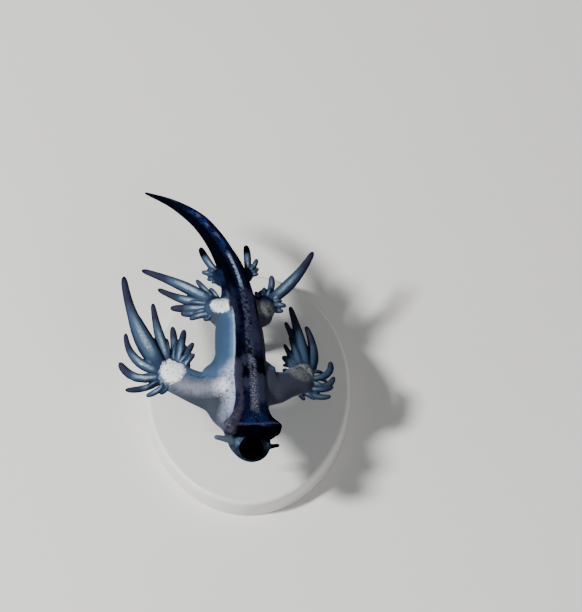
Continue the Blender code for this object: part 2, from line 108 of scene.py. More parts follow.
bodyShape = {
    # distance from the snout, x, y, z, left half width, right half width, sole above, back below, roll
    "stations": (
        (0.0, 0.25, -14.60, -0.45, 2.20, 2.20, 1.70, 1.60, 18),
        (2.4, 0.25, -12.35, -0.40, 2.48, 2.28, 1.75, 1.75, 20),
        (4.6, -0.05, -10.20, -0.10, 2.35, 2.20, 1.90, 1.75, 23),
        (8.8, -0.40, -6.00, 0.00, 2.90, 2.60, 2.00, 2.00, 24),
        (12.8, -0.55, -2.00, 0.00, 3.10, 2.60, 2.00, 2.00, 25),
        (16.3, -0.75, 1.50, 0.00, 2.95, 2.50, 1.95, 1.90, 25),
        (19.3, -1.00, 4.50, 0.00, 2.35, 2.10, 1.80, 1.70, 24),
        (22.1, -1.40, 7.20, 0.05, 1.55, 1.60, 1.55, 1.40, 22),
        (24.7, -2.00, 9.80, 0.10, 1.32, 1.32, 1.30, 1.15, 18),
        (27.2, -2.85, 12.10, 0.15, 1.20, 1.20, 1.10, 1.00, 14),
        (29.5, -3.90, 14.10, 0.20, 1.06, 1.06, 0.95, 0.90, 11),
        (31.8, -5.25, 16.00, 0.25, 0.92, 0.92, 0.80, 0.80, 9),
        (33.9, -6.80, 17.40, 0.30, 0.72, 0.72, 0.62, 0.62, 7),
        (36.0, -8.60, 18.60, 0.35, 0.46, 0.46, 0.42, 0.42, 6),
        (38.7, -11.20, 19.78, 0.40, 0.14, 0.14, 0.14, 0.14, 5),
    ),
    "length": 38.7,
    "sides": 44,
    "ringStep": 0.35,
    # the three lengths overlap inside one another
    "headTo": 4.9, "headStep": 0.15, "snoutRings": 14,
    "middleSpan": (4.45, 26.2),
    "tailFrom": 25.6, "tipShrink": 0.3, "tipReach": 0.1,
    "headRounding": 2.6,
    "neckAt": 2.55,          # the notch under the lip
    "neckDepth": 0.55,
    "neckWidth": 0.42,
}


# Centre, tailward, rightward and soleward directions of the body, which is rolled to its left.
def bodyAxes(distance):
    rows = bodyShape["stations"]
    values = easedValues(rows, distance)
    centre = Vector(values[0:3]) + Vector((0, 0, floatHeight))
    ahead = Vector(easedValues(rows, distance + 0.1)[0:3])
    behind = Vector(easedValues(rows, distance - 0.1)[0:3])
    along = (ahead - behind).normalized()
    levelRight = along.cross(Vector((0, 0, 1))).normalized()
    levelUp = levelRight.cross(along)
    roll = math.radians(values[7])
    right = levelRight * math.cos(roll) - levelUp * math.sin(roll)
    up = levelUp * math.cos(roll) + levelRight * math.sin(roll)
    return centre, along, right, up


def bodyPoint(distance, sideways, height):
    centre, _, right, up = bodyAxes(distance)
    return centre + right * sideways + up * height


def ovalPoint(distance, angle):
    left, right, top, bottom = easedValues(bodyShape["stations"], distance)[3:7]
    rounding = 1.0
    if distance < bodyShape["headRounding"]:
        rounding = math.sqrt(max(0.0, 1 - (1 - distance / bodyShape["headRounding"]) ** 2))
    across = (right if math.cos(angle) > 0 else left) * rounding
    upward = (top if math.sin(angle) > 0 else bottom) * rounding
    height = upward * math.sin(angle)
    if height > 0:                                   # the notch between the snout and the lip
        notch = math.exp(-((distance - bodyShape["neckAt"]) / bodyShape["neckWidth"]) ** 2)
        height -= bodyShape["neckDepth"] * notch * math.sin(angle) ** 2
    return across * math.cos(angle), height


def ovalRing(distance):
    sides = bodyShape["sides"]
    points = [ovalPoint(distance, 2 * math.pi * k / sides) for k in range(sides)]
    return [bodyPoint(distance, sideways, height) for sideways, height in points]


soleShape = {
    # distance, half width, crown above the body's own top
    "stations": (
        (2.95, 2.55, -1.25),
        (3.12, 3.00, -0.72),
        (3.35, 3.24, -0.34),
        (3.60, 3.32, -0.06),
        (3.85, 3.28, 0.10),
        (4.30, 2.86, 0.12),
        (4.90, 2.24, 0.06),
        (6.00, 1.88, 0.06),
        (7.40, 1.76, 0.08),
        (9.60, 1.82, 0.08),
        (12.40, 1.64, 0.08),
        (15.70, 1.50, 0.08),
        (19.00, 1.40, 0.08),
        (22.00, 1.28, 0.06),
        (24.40, 1.16, 0.02),
        (26.60, 1.00, -0.10),
    ),
    "thickness": 0.95,
    "edgeHeight": 0.42,
    "shoulder": 0.55,        # lower is fuller
    "lowerWidth": 0.97,      # share of the half width at its underside
    "sunk": 0.2,
    "sideGap": 0.05,
    "wall": 0.06,
    "sides": 40,
    "ringStep": 0.3,
    # rounded corners of the lip: x, y, z and radius
    "lipLobes": ((-1.78, -11.55, 1.50, 0.88), (2.84, -10.75, -0.35, 0.72)),
}


def soleSeat(distance):
    top = easedValues(bodyShape["stations"], distance)[5]
    crown = easedValues(soleShape["stations"], distance)[1]
    return top + crown - soleShape["thickness"]


# The body's section with a trough along its top, in which the sole lies.
def seatedRing(distance):
    left, right, top, _ = easedValues(bodyShape["stations"], distance)[3:7]
    seat = soleSeat(distance)
    soleEdge = easedValues(soleShape["stations"], distance)[0] + soleShape["sideGap"]
    steps = bodyShape["sides"] // 2 - 2
    ring = []
    for side, halfWidth in ((1, right), (-1, left)):
        wall = soleShape["wall"]
        if soleEdge < halfWidth * math.sqrt(1 - min(1.0, (seat + wall) / top) ** 2):
            edge = soleEdge
            first = math.acos(edge / halfWidth)
        else:
            edge = halfWidth * math.sqrt(1 - (seat / top) ** 2)
            first = math.asin(seat / top) - wall / halfWidth
        points = [(side * edge, seat)]
        for k in range(steps + (side > 0)):
            angle = first - (first + math.pi / 2) * k / steps
            points.append(ovalPoint(distance, angle if side > 0 else math.pi - angle))
        ring += points if side > 0 else points[::-1]
    return [bodyPoint(distance, sideways, height) for sideways, height in ring]


def soleRing(distance):
    halfWidth, crown = easedValues(soleShape["stations"], distance)
    top = easedValues(bodyShape["stations"], distance)[5]
    seat = soleSeat(distance) - soleShape["sunk"]
    shoulder = top + crown - soleShape["edgeHeight"]
    lower = halfWidth * soleShape["lowerWidth"]
    points = [(lower, seat), (-lower, seat)]
    count = soleShape["sides"] - 2
    for k in range(count):
        angle = math.pi * (1 - k / (count - 1))
        height = shoulder + soleShape["edgeHeight"] * max(0.0, math.sin(angle)) ** soleShape["shoulder"]
        points.append((halfWidth * math.cos(angle), height))
    return [bodyPoint(distance, sideways, height) for sideways, height in points]


def ovalPoints(centre, first, second, sides):
    angles = [2 * math.pi * k / sides for k in range(sides)]
    return [centre + first * math.cos(angle) + second * math.sin(angle) for angle in angles]


def pathRings(points, halfWidths, halfHeights, sides):
    rings = []
    for i, point in enumerate(points):
        along = (points[min(i + 1, len(points) - 1)] - points[max(i - 1, 0)]).normalized()
        side = along.cross(Vector((0, 0, 1))).normalized()
        up = side.cross(along)
        rings.append(ovalPoints(point, side * halfWidths[i], up * halfHeights[i], sides))
    return rings


# A circle extruded through the rings, one after the other.
def extrudeRings(name, rings):
    deselectAll()
    sides = len(rings[0])
    bpy.ops.mesh.primitive_circle_add(vertices=sides, radius=1.0, fill_type="NGON")
    piece = bpy.context.object
    piece.name = name
    for vertex, point in zip(piece.data.vertices, rings[0]):
        vertex.co = point
    bpy.ops.object.mode_set(mode="EDIT")
    bpy.ops.mesh.select_all(action="SELECT")
    for before, ring in zip(rings, rings[1:]):
        bpy.ops.mesh.extrude_region_move(TRANSFORM_OT_translate={"value": (0, 0, 0)})
        mesh = bmesh.from_edit_mesh(piece.data)
        places = np.array(before)
        for vertex in [v for v in mesh.verts if v.select]:
            k = int(np.argmin(((places - np.array(vertex.co)) ** 2).sum(axis=1)))
            vertex.co = ring[k]
        bmesh.update_edit_mesh(piece.data)
    bpy.ops.mesh.select_all(action="SELECT")
    bpy.ops.mesh.normals_make_consistent(inside=False)
    bpy.ops.object.mode_set(mode="OBJECT")
    return piece


# Every source piece with what the skin has to know about it, one value for each of its vertices.
sources = []
kinds = {"trunk": 0, "sole": 1, "mouth": 2, "feeler": 3, "arm": 4, "ceras": 5}


def verticesOf(piece):
    flat = np.empty(len(piece.data.vertices) * 3)
    piece.data.vertices.foreach_get("co", flat)
    return flat.reshape(-1, 3)


def addSource(piece, kind, along=None, across=None, tone=0.0, size=0.0):
    count = len(piece.data.vertices)
    nothing = np.zeros(count)
    piece.data.calc_loop_triangles()
    corners = np.empty(len(piece.data.loop_triangles) * 3, dtype=np.int64)
    piece.data.loop_triangles.foreach_get("vertices", corners)
    sources.append({
        "piece": piece, "places": verticesOf(piece), "faces": corners.reshape(-1, 3),
        "kind": np.full(count, float(kinds[kind])), "along": nothing if along is None else along,
        "across": nothing if across is None else across, "tone": np.full(count, tone),
        "size": np.full(count, size),
    })


def buildTrunk():
    step, headRounding = bodyShape["ringStep"], bodyShape["headRounding"]
    snout = [headRounding * (1 - math.cos(math.pi / 2 * share)) for share in shares(bodyShape["snoutRings"])]
    snout[0] = 0.006
    head = snout + spaced(headRounding, bodyShape["headTo"], bodyShape["headStep"])[1:]
    addSource(extrudeRings("trunkHead", [ovalRing(distance) for distance in head]), "trunk")
    middle = spaced(*bodyShape["middleSpan"], step)
    addSource(extrudeRings("trunkMiddle", [seatedRing(distance) for distance in middle]), "trunk")
    rings = [ovalRing(distance) for distance in spaced(bodyShape["tailFrom"], bodyShape["length"], step)]
    centre, along, _, _ = bodyAxes(bodyShape["length"])
    tip = centre + along * bodyShape["tipReach"]
    rings.append([tip + (point - centre) * bodyShape["tipShrink"] for point in rings[-1]])
    addSource(extrudeRings("trunkTail", rings), "trunk")


def buildSole():
    stations = [row[0] for row in soleShape["stations"][:6]]
    front = []
    for first, second in zip(stations, stations[1:]):
        front += [first + (second - first) * share for share in (0.0, 0.25, 0.5, 0.75)]
    back = spaced(stations[-1], soleShape["stations"][-1][0], soleShape["ringStep"])
    addSource(extrudeRings("sole", [soleRing(distance) for distance in front + back]), "sole")
    for x, y, z, radius in soleShape["lipLobes"]:
        deselectAll()
        bpy.ops.mesh.primitive_uv_sphere_add(segments=32, ring_count=20, radius=radius)
        lobe = bpy.context.object
        lobe.name = "lipLobe"
        lobe.data.transform(Matrix.Translation((x, y, z + floatHeight)))
        addSource(lobe, "sole")


mouthShape = {
    "headAt": 2.6, "forward": 1.62, "side": -0.38, "up": 1.33, "tilt": 35, "sides": 40,
    # distance from the middle and height above the head's surface
    "profile": ((1.24, -0.90), (1.26, -0.25), (1.25, -0.04), (1.19, 0.12), (1.08, 0.24), (0.92, 0.33),
                (0.74, 0.39), (0.54, 0.42), (0.36, 0.42), (0.22, 0.39), (0.12, 0.35), (0.04, 0.33)),
}


def mouthAxes():
    centre, along, right, up = bodyAxes(mouthShape["headAt"])
    tilt = math.radians(mouthShape["tilt"])
    outward = up * math.cos(tilt) - along * math.sin(tilt)
    place = centre - along * mouthShape["forward"] + right * mouthShape["side"] + up * mouthShape["up"]
    return place, outward, right, outward.cross(right)


def buildMouth():
    place, outward, right, second = mouthAxes()
    rings = []
    for radius, height in mouthShape["profile"]:
        centre = place + outward * height
        rings.append(ovalPoints(centre, right * radius, second * radius, mouthShape["sides"]))
    addSource(extrudeRings("mouthDisc", rings), "mouth")


feelerShape = {
    # root and tip as distance, sideways and up, then both radii
    "feelers": {
        "oralTentacleLeft": ((2.15, -1.45, 0.10), (2.45, -4.20, 0.25), 0.54, 0.24),
        "oralTentacleRight": ((1.95, 1.55, -0.05), (2.45, 3.34, 0.05), 0.36, 0.19),
        "rhinophoreLeft": ((3.30, -0.70, -1.20), (3.40, -0.95, -2.95), 0.38, 0.17),
        "rhinophoreRight": ((3.30, 1.05, -1.10), (3.20, 1.80, -2.90), 0.38, 0.17),
    },
    "sides": 16, "rings": 12, "taper": 0.7, "arch": 0.10,
    "bluntFrom": 0.86, "bluntRings": 7,
}


def buildFeelers():
    bluntFrom = feelerShape["bluntFrom"]
    stations = [bluntFrom * share for share in shares(feelerShape["rings"])]
    blunt = [math.sin(share * 1.5) for share in shares(feelerShape["bluntRings"])[1:]]
    stations += [bluntFrom + (1 - bluntFrom) * share for share in blunt]
    for name, (root, tip, rootRadius, tipRadius) in feelerShape["feelers"].items():
        start, end = bodyPoint(*root), bodyPoint(*tip)
        points, radii = [], []
        for share in stations:
            arch = feelerShape["arch"] * math.sin(math.pi * share)
            points.append(start.lerp(end, share) + Vector((0, 0, arch)))
            pastBlunt = max(0.0, (share - bluntFrom) / (1 - bluntFrom))
            rounding = math.sqrt(max(0.01, 1 - pastBlunt ** 2))
            taper = share ** feelerShape["taper"]
            radii.append((rootRadius + (tipRadius - rootRadius) * taper) * rounding)
        rings = pathRings(points, radii, radii, feelerShape["sides"])
        addSource(extrudeRings(name, rings), "feeler")


# Arm paths: share, x, y, z, half width, half thickness. Disc: the palm's pale patch, x, y and half lengths;
# on the left arms its white is partly a painted reflection.
# Cerata: bearing of the tip from the palm, reach, bow, radius and lift. Buds, the small ones between: bearing
# and reach.
# Tone: 0 gives an arm the lit colours of the left side, 1 the painted shade of the right side.
armShapes = {
    "armFrontLeft": {
        "path": (
            (0.00, -0.40, -6.00, 0.00, 5.00, 1.35), (0.22, -2.60, -6.05, 0.25, 5.60, 1.35),
            (0.32, -3.40, -6.10, 0.35, 4.50, 1.25), (0.41, -4.15, -6.10, 0.45, 3.15, 1.15),
            (0.52, -5.20, -6.10, 0.65, 2.15, 1.05), (0.64, -6.30, -5.75, 0.90, 1.90, 1.00),
            (0.78, -7.50, -5.15, 1.10, 1.85, 0.95), (1.00, -9.45, -3.90, 1.30, 1.80, 0.90),
        ),
        "palm": (-8.20, -4.60, 1.20), "rim": (1.20, 1.45), "span": (-15, 262), "droop": 0,
        "rear": 1, "tone": 0.0,
        "disc": (-8.00, -4.55, 1.50, 1.85),
        "cerata": (
            (34, 2.4, 0.00, 0.27, -0.15), (46, 3.6, 0.05, 0.33, 0.15), (59.5, 4.7, 0.05, 0.38, -0.12),
            (76.5, 5.9, 0.00, 0.42, 0.15), (89.2, 6.15, -0.03, 0.42, -0.15), (102.5, 9.4, 0.03, 0.60, 0.10),
            (115.5, 8.5, -0.02, 0.42, -0.55), (112.2, 13.75, 0.06, 1.08, 0.10), (133, 7.2, 0.17, 0.56, -0.10),
            (165, 5.7, 0.26, 0.49, 0.20), (203, 5.3, 0.08, 0.36, -0.10), (227, 3.9, 0.12, 0.33, 0.15),
            (246, 2.8, 0.00, 0.28, -0.15),
        ),
        "buds": (
            (40, 3), (53, 3.5), (67, 4), (83, 4.3), (96, 4.6), (108, 4.4), (125, 3.8), (150, 3.4), (186, 3.6),
            (216, 3.3), (238, 2.7), (257, 2.2),
        ),
    },
    "armFrontRight": {
        "path": (
            (0.00, -0.40, -5.20, -0.20, 3.60, 1.35), (0.28, 1.80, -5.00, -0.40, 3.20, 1.30),
            (0.36, 2.40, -5.00, -0.50, 2.60, 1.25), (0.46, 3.10, -5.00, -0.65, 2.05, 1.15),
            (0.62, 4.40, -4.40, -1.00, 1.60, 1.05), (0.80, 5.50, -3.60, -1.40, 1.85, 0.95),
            (1.00, 6.85, -2.75, -1.75, 1.80, 0.85),
        ),
        "palm": (5.68, -3.43, -1.45), "rim": (0.95, 1.60), "span": (160, -115), "droop": -18,
        "rear": -1, "tone": 1.0,
        "disc": (5.80, -3.00, 1.70, 1.60),
        "cerata": (
            (138, 2.7, 0.00, 0.28, 0.15), (117, 4.5, -0.03, 0.38, 0.20), (107, 6.5, 0.00, 0.42, -0.10),
            (99.5, 7.6, 0.00, 0.46, 0.15), (100, 10.3, -0.02, 0.52, -0.25), (95.5, 12.9, -0.01, 0.62, 0.05),
            (86.5, 9.3, -0.07, 0.62, -0.20), (46, 4.7, -0.25, 0.39, 0.10), (17, 3.9, -0.24, 0.36, -0.15),
            (-4, 3.6, -0.14, 0.34, 0.15), (-24, 3.7, -0.12, 0.32, -0.15), (-53, 2.7, 0.00, 0.30, 0.20),
            (-79, 2.4, 0.00, 0.27, -0.10),
        ),
        "buds": (
            (150, 2.4), (128, 3.3), (112, 4.2), (92, 4.2), (66, 3.2), (30, 2.9), (6, 2.9), (-14, 3),
            (-40, 2.6), (-66, 2.2),
        ),
    },
    "armMiddleLeft": {
        "path": (
            (0.00, -0.90, 4.00, 0.20, 2.80, 1.25), (0.40, -2.70, 4.00, 0.65, 2.60, 1.20),
            (0.58, -3.30, 4.05, 0.80, 1.80, 1.10), (0.74, -3.75, 4.20, 0.95, 1.35, 1.00),
            (1.00, -4.60, 4.45, 1.10, 1.25, 0.85),
        ),
        "palm": (-3.30, 4.25, 0.95), "rim": (0.80, 1.05), "span": (80, 262), "droop": 0,
        "rear": 1, "tone": 0.0,
        "disc": (-2.75, 3.95, 1.45, 1.10),
        "cerata": (
            (107.9, 2.66, 0.00, 0.27, 0.10), (122.2, 4.28, 0.04, 0.32, 0.15),
            (149.2, 9.53, -0.02, 0.64, 0.15), (159.5, 6.86, 0.04, 0.57, -0.20),
            (181.1, 5.07, 0.04, 0.45, 0.15), (192.5, 4.04, 0.00, 0.38, -0.15),
            (207.8, 3.38, -0.04, 0.34, 0.15), (227.3, 2.2, 0.00, 0.27, -0.10),
        ),
        "buds": (
            (119, 2.3), (136.7, 2.9), (168.7, 3.3), (187, 3.2), (200, 2.9), (216.1, 2.4), (238, 1.9),
        ),
    },
    "armMiddleRight": {
        "path": (
            (0.00, -0.90, 4.60, 0.00, 2.40, 1.15), (0.50, 1.00, 4.85, -0.45, 2.20, 1.10),
            (0.66, 1.55, 5.25, -0.60, 1.60, 1.00), (0.80, 2.00, 5.75, -0.75, 1.15, 0.90),
            (1.00, 2.70, 6.35, -0.90, 1.00, 0.80),
        ),
        "palm": (1.81, 5.86, -0.70), "rim": (0.60, 0.85), "span": (150, -50), "droop": 0,
        "rear": -1, "tone": 1.0,
        "disc": (1.75, 4.80, 1.65, 1.45),
        "cerata": (
            (124, 1.9, 0.00, 0.25, 0.10), (92, 2.1, 0.00, 0.27, 0.15), (80, 3.8, -0.08, 0.38, -0.10),
            (53, 8.6, -0.06, 0.67, 0.05), (-7, 2.3, 0.00, 0.30, 0.15), (-25, 2.2, 0.00, 0.28, -0.10),
        ),
        "buds": (
            (108, 1.7), (72, 2.2), (24, 1.9), (10, 1.9), (-16, 1.8), (-40, 1.6),
        ),
    },
    "armRearLeft": {
        "path": (
            (0.00, -1.70, 8.30, 0.05, 1.30, 0.80), (0.60, -2.80, 8.55, 0.25, 1.00, 0.72),
            (1.00, -3.90, 9.00, 0.40, 0.80, 0.60),
        ),
        "palm": (-3.20, 8.80, 0.32), "rim": (0.35, 0.50), "span": (118, 250), "droop": 0,
        "rear": 1, "tone": 0.5,
        "cerata": (
            (118, 4.25, 0.05, 0.42, 0.10), (163, 1.9, 0.05, 0.29, 0.15), (198, 1.3, 0.00, 0.24, -0.10),
            (232, 1.2, 0.00, 0.22, 0.10),
        ),
        "buds": (
            (145, 1.5), (180, 1.2),
        ),
    },
    "armRearRight": {
        "path": (
            (0.00, -1.80, 8.90, 0.00, 1.15, 0.78), (0.60, -0.50, 9.10, -0.08, 0.90, 0.70),
            (1.00, 0.42, 9.45, -0.12, 0.70, 0.58),
        ),
        "palm": (-0.08, 9.26, -0.10), "rim": (0.28, 0.45), "span": (95, -20), "droop": 0,
        "rear": -1, "tone": 0.6,
        "cerata": (
            (93, 3.9, -0.03, 0.41, 0.10), (65, 2.3, -0.10, 0.29, 0.15), (36, 1.5, 0.00, 0.24, -0.10),
            (5, 1.2, 0.00, 0.22, 0.10),
        ),
        "buds": (
            (52, 1.4), (20, 1.1),
        ),
    },
}

armMaking = {"sides": 36, "rings": 34, "palmStart": 0.78, "palmRings": 10}


def buildArm(name):
    sizes = armShapes[name]
    start, count = armMaking["palmStart"], armMaking["palmRings"]
    stations = [start * share for share in shares(armMaking["rings"])]
    stations += [start + (1 - start) * math.sin(math.pi / 2 * share) for share in shares(count)[1:]]
    points, halfWidths, halfHeights = [], [], []
    for share in stations:
        x, y, z, halfWidth, halfHeight = easedValues(sizes["path"], share)
        rounding = 1.0
        if share > start:
            rounding = math.sqrt(max(0.0004, 1 - ((share - start) / (1 - start)) ** 2))
        points.append(Vector((x, y, z + floatHeight)))
        halfWidths.append(halfWidth * rounding)
        halfHeights.append(halfHeight * rounding)
    rings = pathRings(points, halfWidths, halfHeights, armMaking["sides"])
    piece = extrudeRings(name, rings)
    places = verticesOf(piece)
    ringPlaces = np.array(rings).reshape(-1, 3)
    tree = BVHTree.FromPolygons([Vector(p) for p in ringPlaces], [(i, i, i) for i in range(len(ringPlaces))])
    found = [tree.find_nearest(Vector(p))[2] for p in places]
    found = np.array([0 if index is None else index for index in found])
    ringNumber, sideNumber = found // armMaking["sides"], found % armMaking["sides"]
    across = np.cos(2 * np.pi * sideNumber / armMaking["sides"]) * sizes["rear"]
    along = np.array(stations)[ringNumber]
    addSource(piece, "arm", along, across, sizes["tone"])


cerasShape = {
    "longFrom": 6.3,
    "giantFrom": 0.9,
    "giantProfile": ((0.0, 0.70), (0.08, 0.83), (0.17, 0.95), (0.26, 1.0), (0.35, 0.94), (0.44, 0.83),
                     (0.52, 0.69), (0.60, 0.56), (0.70, 0.47), (0.80, 0.42), (0.88, 0.38), (0.94, 0.34),
                     (0.975, 0.26), (0.993, 0.15), (1.0, 0.05)),
    "longProfile": ((0.0, 0.78), (0.08, 0.86), (0.18, 0.94), (0.30, 1.0), (0.40, 0.98), (0.50, 0.90),
                    (0.60, 0.80), (0.70, 0.69), (0.80, 0.60), (0.88, 0.53), (0.94, 0.46), (0.975, 0.35),
                    (0.993, 0.21), (1.0, 0.08)),
    "shortProfile": ((0.0, 0.78), (0.15, 0.86), (0.33, 0.96), (0.50, 1.0), (0.65, 0.99), (0.78, 0.93),
                     (0.87, 0.83), (0.94, 0.66), (0.98, 0.43), (1.0, 0.16)),
    "sides": 18,
    "pathPoints": 24,
    "sunk": 0.25,            # how far the root goes on into the palm
    "budRadius": 0.21,
    "budLift": 0.30,
    "toneFromArm": 0.6,      # the rest of each tone is chance
    # the long cerata of the rear arms count as this size, which blackens their tips
    "rearLongFrom": 3.5, "rearSize": 20.0,
    # The side facing up and a little forward: painted highlight on the cerata there, painted shade on the
    # sides turned from it.
    "facingSide": (0.0, -0.35, 0.94),
}


# A straight ceras along +X, one millimetre long and one wide, to be copied.
def masterCeras(name, profile):
    rings = []
    for share, width in profile:
        centre, sideways, upward = Vector((share, 0, 0)), Vector((0, width, 0)), Vector((0, 0, width))
        rings.append(ovalPoints(centre, sideways, upward, cerasShape["sides"]))
    return extrudeRings(name, rings)


def cerasPath(sizes, rootBearing, bearing, reach, bow, lift):
    rootBearing, bearing, droop = (math.radians(angle) for angle in (rootBearing, bearing, sizes["droop"]))
    centre = Vector(sizes["palm"]) + Vector((0, 0, floatHeight))
    longRim, wideRim = sizes["rim"]
    root = centre + Vector((longRim * math.cos(rootBearing), wideRim * math.sin(rootBearing), 0))
    flat = reach * math.cos(droop)
    tip = centre + Vector((flat * math.cos(bearing), flat * math.sin(bearing), reach * math.sin(droop)))
    line = tip - root
    left = Vector((-line.y, line.x, 0))
    points = []
    for share in shares(cerasShape["pathPoints"] - 1):
        point = root + line * share + left * bow * 4 * share * (1 - share)
        point.z += lift * math.sin(math.pi * share)
        points.append(point)
    back = (points[0] - points[1]).normalized() * cerasShape["sunk"]
    return [points[0] + back] + points


def addCeras(master, path, radius, tone, size):
    lengths = np.array([0.0] + [(b - a).length for a, b in zip(path, path[1:])]).cumsum()
    curveData = bpy.data.curves.new("cerasPath", "CURVE")
    curveData.dimensions = "3D"
    curveData.twist_mode = "Z_UP"
    spline = curveData.splines.new("POLY")
    spline.points.add(len(path) - 1)
    for point, place in zip(spline.points, path):
        point.co = (*place, 1.0)
    curve = bpy.data.objects.new("cerasPath", curveData)
    bpy.context.scene.collection.objects.link(curve)
    piece = bpy.data.objects.new("ceras", master.data.copy())
    bpy.context.scene.collection.objects.link(piece)
    share = verticesOf(piece)[:, 0]
    piece.data.transform(Matrix.Diagonal((lengths[-1], radius, radius, 1.0)))
    applyModifier(piece, "CURVE", object=curve, deform_axis="POS_X")
    bpy.data.objects.remove(curve)
    places = np.array(path)
    axis = np.stack([np.interp(share * lengths[-1], lengths, places[:, c]) for c in range(3)], axis=1)
    offset = verticesOf(piece) - axis
    offset /= np.maximum(np.linalg.norm(offset, axis=1), 1e-6)[:, None]
    facing = offset @ np.array(cerasShape["facingSide"])
    addSource(piece, "ceras", share, facing, tone, size)


def cerasTone(sizes, chance):
    fromArm = cerasShape["toneFromArm"]
    return sizes["tone"] * fromArm + (1 - fromArm) * chance.random()


def buildCerata():
    chance = random.Random(4)
    masters = {name: masterCeras(name, cerasShape[name + "Profile"]) for name in ("long", "short", "giant")}
    for name, sizes in armShapes.items():
        first, last = sizes["span"]
        for number, (bearing, reach, bow, radius, lift) in enumerate(sizes["cerata"]):
            rootBearing = first + (last - first) * number / (len(sizes["cerata"]) - 1)
            master = masters["long" if reach > cerasShape["longFrom"] else "short"]
            if radius > cerasShape["giantFrom"]:
                master = masters["giant"]
            path = cerasPath(sizes, rootBearing, bearing, reach, bow, lift)
            rearLong = name.startswith("armRear") and reach > cerasShape["rearLongFrom"]
            size = cerasShape["rearSize"] if rearLong else reach
            addCeras(master, path, radius, cerasTone(sizes, chance), size)
        for bearing, reach in sizes["buds"]:
            path = cerasPath(sizes, bearing, bearing, reach, 0.0, cerasShape["budLift"])
            radius = cerasShape["budRadius"] * (0.85 + 0.3 * chance.random())
            addCeras(masters["short"], path, radius, cerasTone(sizes, chance), reach)
    for master in masters.values():
        bpy.data.objects.remove(master)


# What lies nearest to each vertex of the skin, and the values there.
def readSources(places):
    offset, vertices, faces = 0, [], []
    for source in sources:
        vertices.append(source["places"])
        faces.append(source["faces"] + offset)
        offset += len(source["places"])
    vertices, faces = np.concatenate(vertices), np.concatenate(faces)
    tree = BVHTree.FromPolygons([Vector(v) for v in vertices], [tuple(f) for f in faces])
    nearest = np.empty((len(places), 3))
    index = np.empty(len(places), dtype=np.int64)
    for i, place in enumerate(places):
        found = tree.find_nearest(Vector(place))
        nearest[i] = found[0]
        index[i] = found[2]
    a, b, c = (vertices[faces[index, corner]] for corner in range(3))
    normal = np.cross(b - a, c - a)
    area = np.maximum((normal ** 2).sum(axis=1), 1e-12)
    weightA = (np.cross(b - nearest, c - nearest) * normal).sum(axis=1) / area
    weightB = (np.cross(c - nearest, a - nearest) * normal).sum(axis=1) / area
    weights = np.stack([weightA, weightB, 1 - weightA - weightB], axis=1)
    values = {}
    for name in ("kind", "along", "across", "tone", "size"):
        column = np.concatenate([source[name] for source in sources])
        values[name] = (column[faces[index]] * weights).sum(axis=1)
    values["kind"] = np.round(np.concatenate([source["kind"] for source in sources])[faces[index, 0]])
    return values


# Distance along the body, sideways and upward of each place, and the body's half widths and heights there.
def bodyCoordinates(places):
    step, blockLength = 0.06, 4000
    distances = np.arange(0.0, bodyShape["length"] + 0.01, step)
    frames = [bodyAxes(distance) for distance in distances]
    centres, alongs, rights, ups = (np.array([list(f[k]) for f in frames]) for k in range(4))
    sizes = np.array([easedValues(bodyShape["stations"], distance)[3:7] for distance in distances])
    nearest = np.empty(len(places), dtype=np.int64)
    for start in range(0, len(places), blockLength):
        block = places[start:start + blockLength]
        gaps = ((block[:, None, :] - centres[None, :, :]) ** 2).sum(axis=2)
        nearest[start:start + blockLength] = gaps.argmin(axis=1)
    offset = places - centres[nearest]
    sideways = (offset * rights[nearest]).sum(axis=1)
    height = (offset * ups[nearest]).sum(axis=1)
    distance = distances[nearest] + (offset * alongs[nearest]).sum(axis=1)
    return distance, sideways, height, sizes[nearest]


def edgesOf(piece):
    edges = np.empty(len(piece.data.edges) * 2, dtype=np.int64)
    piece.data.edges.foreach_get("vertices", edges)
    return edges.reshape(-1, 2)


def spread(values, edges, rounds):
    count = len(values)
    degree = np.bincount(edges.ravel(), minlength=count).astype(float)
    for _ in range(rounds):
        total = np.bincount(edges[:, 0], values[edges[:, 1]], count)
        total += np.bincount(edges[:, 1], values[edges[:, 0]], count)
        values = 0.5 * values + 0.5 * total / np.maximum(degree, 1)
    return values


def smoothStep(values, low, high):
    t = np.clip((values - low) / (high - low), 0, 1)
    return t * t * (3 - 2 * t)


def smoothPart(skin, weights, rounds):
    group = skin.vertex_groups.new(name="smoothing")
    levels = np.round(weights, 1)
    for level in np.unique(levels):
        if level > 0:
            group.add(np.nonzero(levels == level)[0].tolist(), float(level), "REPLACE")
    applyModifier(skin, "SMOOTH", factor=0.5, iterations=rounds, vertex_group="smoothing")
    skin.vertex_groups.clear()


skinMaking = {
    "voxel": 0.075,
    "trunkSmoothing": 9,
    "fingerSmoothing": 2,
    "blendSmoothing": 26, "blendWidth": 8, "blendStrength": 4,
    "triangles": 190000,
    "spreads": {"sole": 1, "mouth": 1, "feeler": 12, "arm": 12, "ceras": 2},
    "tailBlend": (24.0, 26.0),
    "discEdge": (0.55, 1.15),
    "cerasRootShare": 0.06,
    "undersideSlope": (0.1, 0.55),
    "outlineSlope": 0.12,
}


